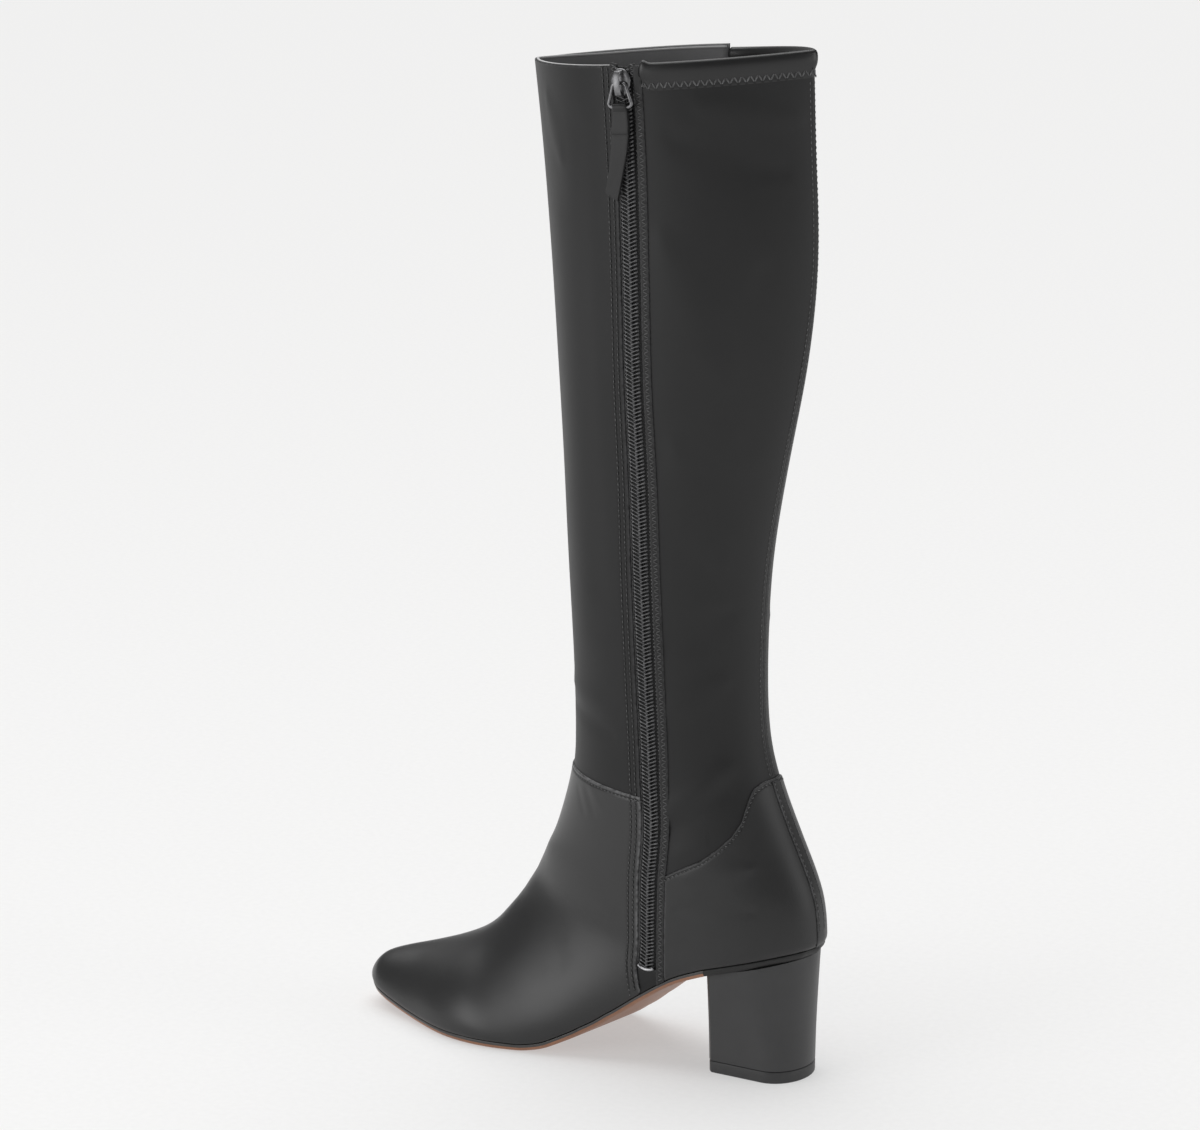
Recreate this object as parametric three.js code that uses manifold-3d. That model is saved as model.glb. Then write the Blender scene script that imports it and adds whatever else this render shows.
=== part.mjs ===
// A woman's knee-high boot, right foot: almond toe, curved waist, block heel, closed zip on the inner side.
// Millimetres. +Z is up, the toe points along -X and the inner side faces -Y.
// The origin lies on the floor, in the middle of the heel's ground face.
import * as THREE from 'three';
import { mergeVertices } from 'three/addons/utils/BufferGeometryUtils.js';
import Module from 'manifold-3d';

const wasm = await Module();
wasm.setup();

// Driving sizes of the last and the shaft.
const FOOT_LENGTH = 240; // toe tip to the back of the heel
const BALL_WIDTH = 80; // widest part of the foot
const HEEL_HEIGHT = 61; // floor to the top of the sole, at the back
const HEEL_BACK = 26.5; // from the middle of the heel's ground face to the back of the upper
const INSTEP_HEIGHT = 137; // floor to where the foot turns into the shaft
const ANKLE_HEIGHT = 160; // floor to the narrowest part of the shaft
const ANKLE_DEPTH = 98;
const ANKLE_WIDTH = 66;
const CALF_DEPTH = 142;
const CALF_WIDTH = 90;
const COLLAR_HEIGHT = 471; // floor to the middle of the collar
const COLLAR_RISE = 12.5; // how much higher the collar is at the back than at the front
const TOE_SWING = 11; // how far the toe tip lies to the inner side

// Walls and layers.
const UPPER_WALL = 1.6;
const OVERLAY_THICKNESS = 0.9; // vamp, counter and collar hem lie on the upper
const SOLE_THICKNESS = 3.4;
const SOLE_INSET = 0.6; // how far the sole's edge lies inside the upper
const INSOLE_THICKNESS = 2.5;
const WAIST_CANT = 2; // rise of the waist's inner edge over its middle
const GAP = 0.3; // between neighbouring pieces

// Heel block and its top lift.
const HEEL_BASE_LENGTH = 43.6;
const HEEL_BASE_WIDTH = 38;
const HEEL_SEAT_WIDTH = 51;
const HEEL_BREAST = 20.5; // from the origin forward to the heel's front face, at the sole
const HEEL_SEAT_INSET = 2.4; // how far the block stays inside the upper at the back
const HEEL_BASE_ROUND = 15; // depth of the rounded back, at the floor
const HEEL_SEAT_ROUND = 27; // the same, at the sole
const LIFT_THICKNESS = 6;

// Collar hem, vamp and counter.
const HEM_HEIGHT = 11;
const VAMP_TOP_FRONT = 137; // floor to the vamp's upper edge at the shin
const VAMP_TOP_SIDE = 132.8; // the same, at the zip
const COUNTER_HEIGHT = 141.5; // floor to the counter's upper edge at the back

const PLACKET_WIDTH = 4; // strip of the upper between the zip's slot and the counter or the hem
const SIDE_SEAM = 0.27; // share of the foot's length: vamp and counter meet there on the outer side
const SHAFT_SEAM = 0.317; // share of the foot's length: the hem ends there on the outer side
const VAMP_FRONT = 0.56; // share of the foot's length: the shin, where the vamp's upper edge is level
const PAST_TOE = 1.2; // shares of the foot's length that lie outside the boot
const PAST_HEEL = -0.1;

// Zip.
const ZIP_SLOT = 10;
const ZIP_DEPTH = 5; // the zip's cutters stop this far inside the boot's middle plane
const TAPE_WIDTH = 24;
const TAPE_THICKNESS = 0.8;
const TEETH_WIDTH = 7;
const TEETH_THICKNESS = 2;
const ZIP_BOTTOM = 50; // floor to the lower end of the teeth
const ZIP_TOP_DROP = 1; // collar to the upper end of the teeth
const STOP_HEIGHT = 3;
const STOP_THICKNESS = 1.2;
const SLIDER_WIDTH = 10;
const SLIDER_LENGTH = 13;
const SLIDER_PLATE = 1.2;
const SLIDER_NOSE = 0.6; // share of the slider's width
const SLIDER_SHOULDER = 0.3; // where the slider is widest, as a share of half its length
const SLIDER_CORNER = 1.2;
const BRIDGE_REACH = 0.92; // share of the slider's length
const BRIDGE_SLANT = 1; // how much shorter the bridge is at its top
const BRIDGE_SINK = 0.4; // how far the bridge's feet reach into the plate
const BRIDGE_WIDTH = 3.4;
const BRIDGE_RISE = 4.2; // plate to the outside of the bridge
const BRIDGE_BAR = 1.2;
const RING_WIRE = 1.6;
const WIRE_SIDES = 10;
const RING_NARROW = 7;
const RING_WIDTH = 11.5;
const RING_CORNER = 2;
const RING_LENGTH = 10.5;
const TAB_WIDTH = 9.4;
const TAB_NECK = 6.6;
const TAB_LENGTH = 42;
const TAB_THICKNESS = 1.1; // one layer; the tab is folded double
const TAB_LEAN = 4.5; // how far the tab's end hangs towards the toe
const TAB_SHOULDER = 0.3; // share of the tab's length where it reaches its full width
const TAB_CUT = 4; // slant of the tab's end

const STEPS_AROUND = 15; // segments on each side of a section
const FINE_STEPS = 240; // points measured along a side before it is divided evenly
const SHAFT_STEPS = 2; // sections made between two rows of the shaft table
const FOOT_STEPS = 1;
const SOLE_STEPS = 44;
const ZIP_STEPS = 26;
const CORNER_STEPS = 4;
const CURVE_SEGMENTS = 6;
const SEARCH_STEPS = 40;
const HEEL_STEPS = 10;
const HEEL_ARC_STEPS = 20;
const HEEL_FLARE = 1.6; // 1 gives straight sides, more keeps the flare near the sole
const HEEL_EDGE = 2; // cut off the heel's front edges

const MEDIAL = -1;
const LATERAL = 1;

// Shaft sections from the collar down. height: 0 at the ankle, 1 at the collar.
// middle: share of the foot's length, from the heel's back. depth and width: 0 as the ankle, 1 as the calf.
// rise: share of the collar's rise.
// front and back: 0.5 is round, 1 is a sharp fold.
const SHAFT_ROWS = [
  { height: 1.0, middle: 0.3355, depth: 1.05, width: 1.0, rise: 1.0, front: 0.85, back: 0.9 },
  { height: 0.87, middle: 0.322, depth: 0.96, width: 1.02, rise: 0.85, front: 0.8, back: 0.85 },
  { height: 0.71, middle: 0.308, depth: 0.89, width: 1.0, rise: 0.7, front: 0.75, back: 0.78 },
  { height: 0.56, middle: 0.311, depth: 0.69, width: 0.83, rise: 0.5, front: 0.7, back: 0.7 },
  { height: 0.41, middle: 0.325, depth: 0.38, width: 0.58, rise: 0.3, front: 0.66, back: 0.64 },
  { height: 0.26, middle: 0.337, depth: 0.13, width: 0.3, rise: 0.1, front: 0.62, back: 0.6 },
  { height: 0.11, middle: 0.335, depth: 0.01, width: 0.08, rise: 0, front: 0.58, back: 0.57 },
  { height: 0, middle: 0.329, depth: 0.01, width: 0, rise: 0, front: 0.55, back: 0.55 },
];

// Sections round the back of the heel. topX and backX: shares of the foot's length from the heel's back.
// topZ: share of the instep's height. backZ: 0 at the sole, 1 at the instep. width: share of the ankle's width.
const HEEL_ROWS = [
  { topX: 0.537, topZ: 1.0, backX: 0.098, backZ: 1.0, width: 1.0, front: 0.54, back: 0.54 },
  { topX: 0.557, topZ: 0.861, backX: 0.056, backZ: 0.69, width: 1.0, front: 0.53, back: 0.52 },
  { topX: 0.578, topZ: 0.752, backX: 0.018, backZ: 0.41, width: 1.0, front: 0.52, back: 0.5 },
  { topX: 0.597, topZ: 0.679, backX: 0.002, backZ: 0.18, width: 0.985, front: 0.5, back: 0.46 },
];

// Sections of the foot down to below the sole. topX and soleX: shares of the foot's length. topZ: share of the
// instep's height. inner and outer: shares of half the ball's width. swing: share of the toe's swing.
const FOOT_ROWS = [
  { topX: 0.614, topZ: 0.62, soleX: 0.008, inner: 0.79, outer: 0.79, swing: 0, front: 0.5, back: 0.4 },
  { topX: 0.629, topZ: 0.569, soleX: 0.081, inner: 0.775, outer: 0.775, swing: 0, front: 0.5, back: 0.25 },
  { topX: 0.648, topZ: 0.518, soleX: 0.185, inner: 0.77, outer: 0.76, swing: 0, front: 0.5, back: 0.2 },
  { topX: 0.668, topZ: 0.467, soleX: 0.31, inner: 0.82, outer: 0.775, swing: 0, front: 0.5, back: 0.18 },
  { topX: 0.691, topZ: 0.415, soleX: 0.435, inner: 0.95, outer: 0.83, swing: 0, front: 0.5, back: 0.17 },
  { topX: 0.718, topZ: 0.36, soleX: 0.548, inner: 1.09, outer: 0.91, swing: 0.02, front: 0.5, back: 0.17 },
  { topX: 0.755, topZ: 0.31, soleX: 0.644, inner: 1.13, outer: 0.94, swing: 0.15, front: 0.5, back: 0.18 },
  { topX: 0.81, topZ: 0.264, soleX: 0.735, inner: 1.0, outer: 0.84, swing: 0.35, front: 0.5, back: 0.19 },
  { topX: 0.873, topZ: 0.226, soleX: 0.823, inner: 0.75, outer: 0.67, swing: 0.56, front: 0.5, back: 0.2 },
  { topX: 0.927, topZ: 0.198, soleX: 0.894, inner: 0.54, outer: 0.5, swing: 0.75, front: 0.5, back: 0.24 },
  { topX: 0.969, topZ: 0.17, soleX: 0.948, inner: 0.365, outer: 0.35, swing: 0.9, front: 0.48, back: 0.3 },
  { topX: 0.99, topZ: 0.138, soleX: 0.98, inner: 0.22, outer: 0.215, swing: 0.97, front: 0.48, back: 0.36 },
];
const TOE_TIP_HEIGHT = 0.09; // share of the instep's height

// The sole's upper face along its middle. along: share of the foot's length. rise: share of the heel's height,
// over the thickness of the sole. cant: share of the waist's cant.
const SOLE_ROWS = [
  { along: -0.08, rise: 1.03, cant: 0 },
  { along: 0.01, rise: 1.0, cant: 0 },
  { along: 0.1, rise: 0.915, cant: 0 },
  { along: 0.19, rise: 0.81, cant: 0.15 },
  { along: 0.26, rise: 0.685, cant: 0.35 },
  { along: 0.33, rise: 0.503, cant: 0.5 },
  { along: 0.4, rise: 0.295, cant: 0.8 },
  { along: 0.45, rise: 0.155, cant: 1 },
  { along: 0.49, rise: 0.06, cant: 1.05 },
  { along: 0.53, rise: 0.014, cant: 0.45 },
  { along: 0.575, rise: 0, cant: 0.05 },
  { along: 0.74, rise: 0, cant: 0 },
  { along: 0.84, rise: 0.022, cant: 0 },
  { along: 0.93, rise: 0.075, cant: 0 },
  { along: 1.0, rise: 0.145, cant: 0 },
  { along: 1.08, rise: 0.25, cant: 0 },
];
const SOLE_SINK = 10; // how far the form of the foot reaches below the sole's upper face
const SOLE_REACH = 90; // half the width of the cutters that follow the sole
const BELOW_FLOOR = 60;

// The counter's upper edge, from the side to the back. along: share of the foot's length.
// height: share of the counter's top.
const COUNTER_ROWS = [
  { along: 0.3, height: 0.66 },
  { along: 0.267, height: 0.682 },
  { along: 0.234, height: 0.714 },
  { along: 0.192, height: 0.751 },
  { along: 0.161, height: 0.795 },
  { along: 0.14, height: 0.835 },
  { along: 0.127, height: 0.88 },
  { along: 0.124, height: 0.93 },
  { along: 0.12, height: 0.98 },
  { along: 0.11, height: 1 },
];

// The zip's middle line. height: share of the collar's height. along: share of the foot's length.
const ZIP_ROWS = [
  { height: 0, along: 0.314 },
  { height: 0.1, along: 0.311 },
  { height: 0.2, along: 0.3025 },
  { height: 0.25, along: 0.2955 },
  { height: 0.3, along: 0.3 },
  { height: 0.4, along: 0.308 },
  { height: 0.5, along: 0.3115 },
  { height: 0.6, along: 0.3105 },
  { height: 0.7, along: 0.3135 },
  { height: 0.8, along: 0.314 },
  { height: 0.9, along: 0.32 },
  { height: 1.0, along: 0.333 },
  { height: 1.1, along: 0.346 },
];

const alongFoot = (share) => HEEL_BACK - share * FOOT_LENGTH;
const mix = THREE.MathUtils.lerp;

// A smooth curve through four neighbouring values.
function smooth(a, b, c, d, t) {
  const slopeIn = (c - a) / 2;
  const slopeOut = (d - b) / 2;
  const t2 = t * t;
  const t3 = t2 * t;
  return (2 * t3 - 3 * t2 + 1) * b + (t3 - 2 * t2 + t) * slopeIn + (3 * t2 - 2 * t3) * c + (t3 - t2) * slopeOut;
}

// A column of a table read at a value of another column, along a smooth curve.
function readTable(rows, keyColumn, valueColumn, key) {
  const last = rows.length - 1;
  let i = 0;
  while (i < last - 1 && rows[i + 1][keyColumn] < key) i += 1;
  const span = rows[i + 1][keyColumn] - rows[i][keyColumn];
  const t = THREE.MathUtils.clamp((key - rows[i][keyColumn]) / span, 0, 1);
  const value = (k) => rows[THREE.MathUtils.clamp(k, 0, last)][valueColumn];
  return smooth(value(i - 1), value(i), value(i + 1), value(i + 2), t);
}

// The sole's upper face, in height over the floor.
function soleTop(x, y) {
  const along = (HEEL_BACK - x) / FOOT_LENGTH;
  const rise = Math.max(readTable(SOLE_ROWS, 'along', 'rise', along), 0);
  const cant = readTable(SOLE_ROWS, 'along', 'cant', along) * WAIST_CANT;
  return SOLE_THICKNESS + rise * HEEL_HEIGHT - (cant * y) / (HEEL_SEAT_WIDTH / 2);
}

// Every section of the boot as real sizes: its top or front point, its bottom or back point, its half widths.
function shaftSection(row) {
  const middle = alongFoot(row.middle);
  const depth = mix(ANKLE_DEPTH, CALF_DEPTH, row.depth);
  const z = mix(ANKLE_HEIGHT, COLLAR_HEIGHT, row.height);
  const half = mix(ANKLE_WIDTH, CALF_WIDTH, row.width) / 2;
  const rise = (row.rise * COLLAR_RISE) / 2;
  return {
    frontX: middle - depth / 2, frontZ: z - rise, backX: middle + depth / 2, backZ: z + rise,
    inner: half, outer: half, centre: 0, front: row.front, back: row.back,
  };
}

function heelSection(row) {
  const backX = alongFoot(row.backX);
  const half = (row.width * ANKLE_WIDTH) / 2;
  return {
    frontX: alongFoot(row.topX), frontZ: row.topZ * INSTEP_HEIGHT,
    backX, backZ: mix(soleTop(backX, 0), INSTEP_HEIGHT, row.backZ),
    inner: half, outer: half, centre: 0, front: row.front, back: row.back,
  };
}

function footSection(row) {
  const backX = alongFoot(row.soleX);
  return {
    frontX: alongFoot(row.topX), frontZ: row.topZ * INSTEP_HEIGHT,
    backX, backZ: soleTop(backX, 0) - SOLE_SINK,
    inner: (row.inner * BALL_WIDTH) / 2, outer: (row.outer * BALL_WIDTH) / 2,
    centre: -row.swing * TOE_SWING, front: row.front, back: row.back,
  };
}

const SECTIONS = [
  ...SHAFT_ROWS.map(shaftSection), ...HEEL_ROWS.map(heelSection), ...FOOT_ROWS.map(footSection),
];
const SECTION_SIZES = Object.keys(SECTIONS[0]);

// The section at a place between the rows, counted in rows from the collar.
function sectionAt(place) {
  const last = SECTIONS.length - 1;
  const i = THREE.MathUtils.clamp(Math.floor(place), 0, last - 1);
  const pick = (k, size) => SECTIONS[THREE.MathUtils.clamp(k, 0, last)][size];
  const made = {};
  for (const size of SECTION_SIZES) {
    made[size] = smooth(pick(i - 1, size), pick(i, size), pick(i + 1, size), pick(i + 2, size), place - i);
  }
  return made;
}

// Half width at a share of the way from a section's front point to its back point, as a share of the widest.
function fullness(section, share) {
  const p = THREE.MathUtils.clamp(share, 0, 1);
  const widest = section.front / (section.front + section.back);
  return (p / widest) ** section.front * ((1 - p) / (1 - widest)) ** section.back;
}

function sectionPoint(section, share, side) {
  const half = side === MEDIAL ? section.inner : section.outer;
  return new THREE.Vector3(
    mix(section.frontX, section.backX, share),
    section.centre + side * half * fullness(section, share),
    mix(section.frontZ, section.backZ, share),
  );
}

// One side of a section as points at even distances, from the front point to the back point.
function sectionSide(section, side) {
  const fine = FINE_STEPS;
  const curve = [];
  for (let i = 0; i <= fine; i += 1) {
    const share = (1 - Math.cos((Math.PI * i) / fine)) / 2;
    curve.push(sectionPoint(section, share, side));
  }
  const run = [0];
  for (let i = 1; i <= fine; i += 1) run.push(run[i - 1] + curve[i].distanceTo(curve[i - 1]));
  const points = [];
  let k = 0;
  for (let j = 0; j <= STEPS_AROUND; j += 1) {
    const goal = (run[fine] * j) / STEPS_AROUND;
    while (k < fine - 1 && run[k + 1] < goal) k += 1;
    points.push(curve[k].clone().lerp(curve[k + 1], (goal - run[k]) / (run[k + 1] - run[k])));
  }
  return points;
}

function sectionLoop(section) {
  const inner = sectionSide(section, MEDIAL);
  const outer = sectionSide(section, LATERAL).reverse();
  return [...inner, ...outer.slice(1, -1)];
}

// The places of the sections that are made: closer together where the table's rows are far apart.
function sectionPlaces() {
  const places = [];
  for (let row = 0; row < SECTIONS.length - 1; row += 1) {
    const steps = row < SHAFT_ROWS.length ? SHAFT_STEPS : FOOT_STEPS;
    for (let k = 0; k < steps; k += 1) places.push(row + k / steps);
  }
  places.push(SECTIONS.length - 1);
  return places;
}

const LOOPS = sectionPlaces().map((place) => sectionLoop(sectionAt(place)));
const TOE_TIP = new THREE.Vector3(alongFoot(1), -TOE_SWING, TOE_TIP_HEIGHT * INSTEP_HEIGHT);

// Outward directions of all loop points, from their neighbours.
function loopNormals() {
  return LOOPS.map((loop, i) => loop.map((point, j) => {
    const above = LOOPS[Math.max(i - 1, 0)][j];
    const below = i < LOOPS.length - 1 ? LOOPS[i + 1][j] : TOE_TIP;
    const ahead = loop[(j + 1) % loop.length];
    const behind = loop[(j + loop.length - 1) % loop.length];
    const down = new THREE.Vector3().subVectors(below, above);
    const round = new THREE.Vector3().subVectors(ahead, behind);
    return new THREE.Vector3().crossVectors(down, round).normalize();
  }));
}
const NORMALS = loopNormals();

// A closed geometry through rings of as many points each, closed by a point or by a fan at either end.
function loft(rings, startPoint, endPoint) {
  const count = rings[0].length;
  const points = rings.flat();
  const faces = [];
  for (let i = 0; i < rings.length - 1; i += 1) {
    for (let j = 0; j < count; j += 1) {
      const a = i * count + j;
      const b = i * count + ((j + 1) % count);
      faces.push(a, b, b + count, a, b + count, a + count);
    }
  }
  const start = points.push(startPoint) - 1;
  const end = points.push(endPoint) - 1;
  const lastRing = (rings.length - 1) * count;
  for (let j = 0; j < count; j += 1) {
    const next = (j + 1) % count;
    faces.push(start, next, j);
    faces.push(end, lastRing + j, lastRing + next);
  }
  return new THREE.BufferGeometry().setFromPoints(points).setIndex(faces);
}

const middleOf = (ring) => ring.reduce((sum, p) => sum.add(p), new THREE.Vector3()).divideScalar(ring.length);

// A closed mesh as a solid, turned the right way out.
function solid(geometry) {
  const bare = geometry.clone();
  bare.deleteAttribute('normal');
  bare.deleteAttribute('uv');
  const merged = mergeVertices(bare, 1e-4);
  const made = new wasm.Manifold(new wasm.Mesh({
    numProp: 3,
    vertProperties: merged.attributes.position.array,
    triVerts: new Uint32Array(merged.index.array),
  }));
  if (made.volume() > 0) return made;
  const turned = new Uint32Array(merged.index.array);
  for (let i = 0; i < turned.length; i += 3) [turned[i], turned[i + 1]] = [turned[i + 1], turned[i]];
  return new wasm.Manifold(new wasm.Mesh({
    numProp: 3,
    vertProperties: merged.attributes.position.array,
    triVerts: turned,
  }));
}

function geometryOf(made) {
  const mesh = made.getMesh();
  const positions = new Float32Array(mesh.numVert * 3);
  for (let i = 0; i < mesh.numVert; i += 1) {
    positions.set(mesh.vertProperties.subarray(i * mesh.numProp, i * mesh.numProp + 3), i * 3);
  }
  return new THREE.BufferGeometry()
    .setAttribute('position', new THREE.BufferAttribute(positions, 3))
    .setIndex(new THREE.BufferAttribute(new Uint32Array(mesh.triVerts), 1));
}

// The whole boot as one filled form, grown by an offset, and drawn out above the collar by a height.
function bootForm(offset, above = 0) {
  const rings = LOOPS.map((loop, i) => loop.map((p, j) => p.clone().addScaledVector(NORMALS[i][j], offset)));
  if (above > 0) rings.unshift(rings[0].map((p) => p.clone().add(new THREE.Vector3(0, 0, above))));
  const tip = TOE_TIP.clone().add(new THREE.Vector3(-offset, 0, 0));
  return solid(loft(rings, middleOf(rings[0]), tip));
}

// A block between two faces that both follow the sole, at heights over its upper face.
// Without a lower height it reaches far below the floor, and without an upper one far above the collar.
function soleBlock(low, high) {
  const points = [];
  const faces = [];
  const quad = (a, b, c, d) => faces.push(a, b, c, a, c, d);
  const { along: from } = SOLE_ROWS[0];
  const { along: to } = SOLE_ROWS[SOLE_ROWS.length - 1];
  for (let i = 0; i <= SOLE_STEPS; i += 1) {
    const x = alongFoot(mix(from, to, i / SOLE_STEPS));
    for (const y of [-SOLE_REACH, SOLE_REACH]) {
      points.push(new THREE.Vector3(x, y, low === null ? -BELOW_FLOOR : soleTop(x, y) + low));
      points.push(new THREE.Vector3(x, y, high === null ? COLLAR_HEIGHT * 2 : soleTop(x, y) + high));
    }
    if (i === SOLE_STEPS) continue;
    const [innerLow, innerHigh, outerLow, outerHigh] = [0, 1, 2, 3].map((k) => i * 4 + k);
    faces.push(innerLow, outerLow + 4, outerLow, innerLow, innerLow + 4, outerLow + 4);
    faces.push(innerHigh, outerHigh, outerHigh + 4, innerHigh, outerHigh + 4, innerHigh + 4);
    quad(innerLow, innerHigh, innerHigh + 4, innerLow + 4);
    quad(outerLow, outerLow + 4, outerHigh + 4, outerHigh);
  }
  const end = SOLE_STEPS * 4;
  quad(0, 2, 3, 1);
  quad(end, end + 1, end + 3, end + 2);
  return solid(new THREE.BufferGeometry().setFromPoints(points).setIndex(faces));
}
const belowSole = (height) => soleBlock(null, height);
const aboveSole = (height) => soleBlock(height, null);

// A prism over an outline in the XZ plane, between two places across the boot.
function sidePrism(outline, yLow, yHigh) {
  const shape = new THREE.Shape(outline.map(([x, z]) => new THREE.Vector2(x, z)));
  const geometry = new THREE.ExtrudeGeometry(shape, { depth: yHigh - yLow, bevelEnabled: false });
  return solid(geometry.rotateX(Math.PI / 2).translate(0, yHigh, 0));
}

const zipX = (z) => alongFoot(readTable(ZIP_ROWS, 'height', 'along', z / COLLAR_HEIGHT));
const collarZ = (x) => {
  const { frontX, frontZ, backX, backZ } = SECTIONS[0];
  return mix(frontZ, backZ, (x - frontX) / (backX - frontX));
};
const FAR = COLLAR_HEIGHT;

// Points down the zip's line, shifted along the foot.
function zipLine(shift, low, high) {
  const points = [];
  for (let i = 0; i <= ZIP_STEPS; i += 1) {
    const z = mix(high, low, i / ZIP_STEPS);
    points.push([zipX(z) + shift, z]);
  }
  return points;
}

// A block along the zip's line, on the inner side of the boot only.
function zipBlock(width, low, high) {
  const outline = [...zipLine(-width / 2, low, high), ...zipLine(width / 2, low, high).reverse()];
  return sidePrism(outline, -FAR, -ZIP_DEPTH);
}

// Where the boot's surface lies across, at a place along the foot and a height.
function surfacePoint(x, z, side) {
  let low = 0;
  let high = SECTIONS.length - 1;
  for (let i = 0; i < SEARCH_STEPS; i += 1) {
    const middle = (low + high) / 2;
    const { frontX, frontZ, backX, backZ } = sectionAt(middle);
    const over = (backX - frontX) * (z - frontZ) - (backZ - frontZ) * (x - frontX);
    if (over > 0) high = middle;
    else low = middle;
  }
  const section = sectionAt(low);
  const share = (x - section.frontX) / (section.backX - section.frontX);
  return sectionPoint(section, share, side);
}

// The vamp is a step in the upper's wall: all of the foot in front of the zip and of the outer side's seam.
function vampBlock() {
  const toe = alongFoot(PAST_TOE);
  const crest = [alongFoot(VAMP_FRONT), VAMP_TOP_FRONT];
  const seam = alongFoot(SIDE_SEAM);
  const inner = [...zipLine(-ZIP_SLOT / 2, 0, VAMP_TOP_SIDE), [toe, 0], [toe, VAMP_TOP_FRONT], crest];
  const outer = [[seam, VAMP_TOP_SIDE], [seam, 0], [toe, 0], [toe, VAMP_TOP_FRONT], crest];
  return sidePrism(inner, -FAR, -ZIP_DEPTH).add(sidePrism(outer, -ZIP_DEPTH, FAR));
}

function makeUpper() {
  const outer = bootForm(0).add(bootForm(OVERLAY_THICKNESS).intersect(vampBlock()));
  const inner = bootForm(-UPPER_WALL, ZIP_SLOT);
  const slot = zipBlock(ZIP_SLOT, ZIP_BOTTOM - GAP, FAR * 1.5);
  return outer.subtract(inner).subtract(slot).subtract(belowSole(GAP));
}

// A layer on the upper, between two larger forms of it.
const layer = (low, high) => bootForm(high, ZIP_SLOT).subtract(bootForm(low, ZIP_SLOT * 2));

function makeCounter() {
  const rear = alongFoot(PAST_HEEL);
  const edge = COUNTER_ROWS.map((row) => [alongFoot(row.along), row.height * COUNTER_HEIGHT]);
  const whole = [...edge, [rear, COUNTER_HEIGHT], [rear, 0], [alongFoot(COUNTER_ROWS[0].along), 0]];
  const placket = zipLine(ZIP_SLOT / 2 + PLACKET_WIDTH, 0, COUNTER_HEIGHT);
  const behindZip = sidePrism([...placket, [rear, 0], [rear, COUNTER_HEIGHT]], -FAR, 0);
  const seam = alongFoot(SIDE_SEAM) + GAP;
  const behindSeam = sidePrism([[seam, COUNTER_HEIGHT], [seam, 0], [rear, 0], [rear, COUNTER_HEIGHT]], 0, FAR);
  return layer(GAP, GAP + OVERLAY_THICKNESS)
    .intersect(sidePrism(whole, -FAR, FAR))
    .intersect(behindZip.add(behindSeam))
    .intersect(aboveSole(GAP));
}

function makeHem() {
  const band = (x) => [[x, collarZ(x)], [x, collarZ(x) - HEM_HEIGHT]];
  const start = zipX(COLLAR_HEIGHT) + ZIP_SLOT / 2 + PLACKET_WIDTH;
  const end = alongFoot(SHAFT_SEAM);
  const rear = alongFoot(PAST_HEEL);
  const medial = sidePrism([...band(start), ...band(rear).reverse()], -FAR, 0);
  const outer = sidePrism([...band(end), ...band(rear).reverse()], 0, FAR);
  return layer(GAP, GAP + OVERLAY_THICKNESS).intersect(medial.add(outer));
}

function makeOutsole() {
  const overFloor = sidePrism([[-FAR, 0], [FAR, 0], [FAR, FAR], [-FAR, FAR]], -FAR, FAR);
  return bootForm(-SOLE_INSET).intersect(soleBlock(-SOLE_THICKNESS, 0)).intersect(overFloor);
}

function makeInsole() {
  return bootForm(-UPPER_WALL - GAP).intersect(soleBlock(GAP, GAP + INSOLE_THICKNESS));
}

// The heel's outline at a height: straight breast, nearly straight sides, rounded back.
function heelOutline(share, z) {
  const flare = share ** HEEL_FLARE;
  const front = mix(HEEL_BASE_LENGTH / 2, HEEL_BREAST, flare);
  const back = mix(HEEL_BASE_LENGTH / 2, HEEL_BACK - HEEL_SEAT_INSET, flare);
  const half = mix(HEEL_BASE_WIDTH, HEEL_SEAT_WIDTH, flare) / 2;
  const round = mix(HEEL_BASE_ROUND, HEEL_SEAT_ROUND, flare);
  const points = [];
  for (let i = 0; i <= HEEL_ARC_STEPS; i += 1) {
    const angle = -Math.PI / 2 + (Math.PI * i) / HEEL_ARC_STEPS;
    points.push(new THREE.Vector3(back - round + round * Math.cos(angle), half * Math.sin(angle), z));
  }
  points.push(new THREE.Vector3(HEEL_EDGE - front, half, z));
  points.push(new THREE.Vector3(-front, half - HEEL_EDGE, z));
  points.push(new THREE.Vector3(-front, HEEL_EDGE - half, z));
  points.push(new THREE.Vector3(HEEL_EDGE - front, -half, z));
  return points;
}

function heelForm(low, high, steps) {
  const rings = [];
  for (let i = 0; i <= steps; i += 1) {
    const z = mix(low, high, i / steps);
    rings.push(heelOutline(z / HEEL_HEIGHT, z));
  }
  return solid(loft(rings, middleOf(rings[0]), middleOf(rings[steps])));
}

const makeHeelBlock = () => heelForm(LIFT_THICKNESS, HEEL_HEIGHT * 1.2, HEEL_STEPS)
  .intersect(belowSole(-SOLE_THICKNESS - GAP));
const makeHeelLift = () => heelForm(0, LIFT_THICKNESS - GAP, 1);

// The zip: a tape inside the upper, teeth on it in the slot, and a stop under the slot's lower end.
function makeZipTape() {
  const top = COLLAR_HEIGHT - ZIP_TOP_DROP;
  const face = -UPPER_WALL - GAP;
  return layer(face - TAPE_THICKNESS, face)
    .intersect(zipBlock(TAPE_WIDTH, 0, top))
    .intersect(aboveSole(INSOLE_THICKNESS + 2 * GAP));
}

function makeZipTeeth() {
  const base = -UPPER_WALL;
  const top = COLLAR_HEIGHT - ZIP_TOP_DROP;
  return layer(base, base + TEETH_THICKNESS).intersect(zipBlock(TEETH_WIDTH, ZIP_BOTTOM, top));
}

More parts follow.
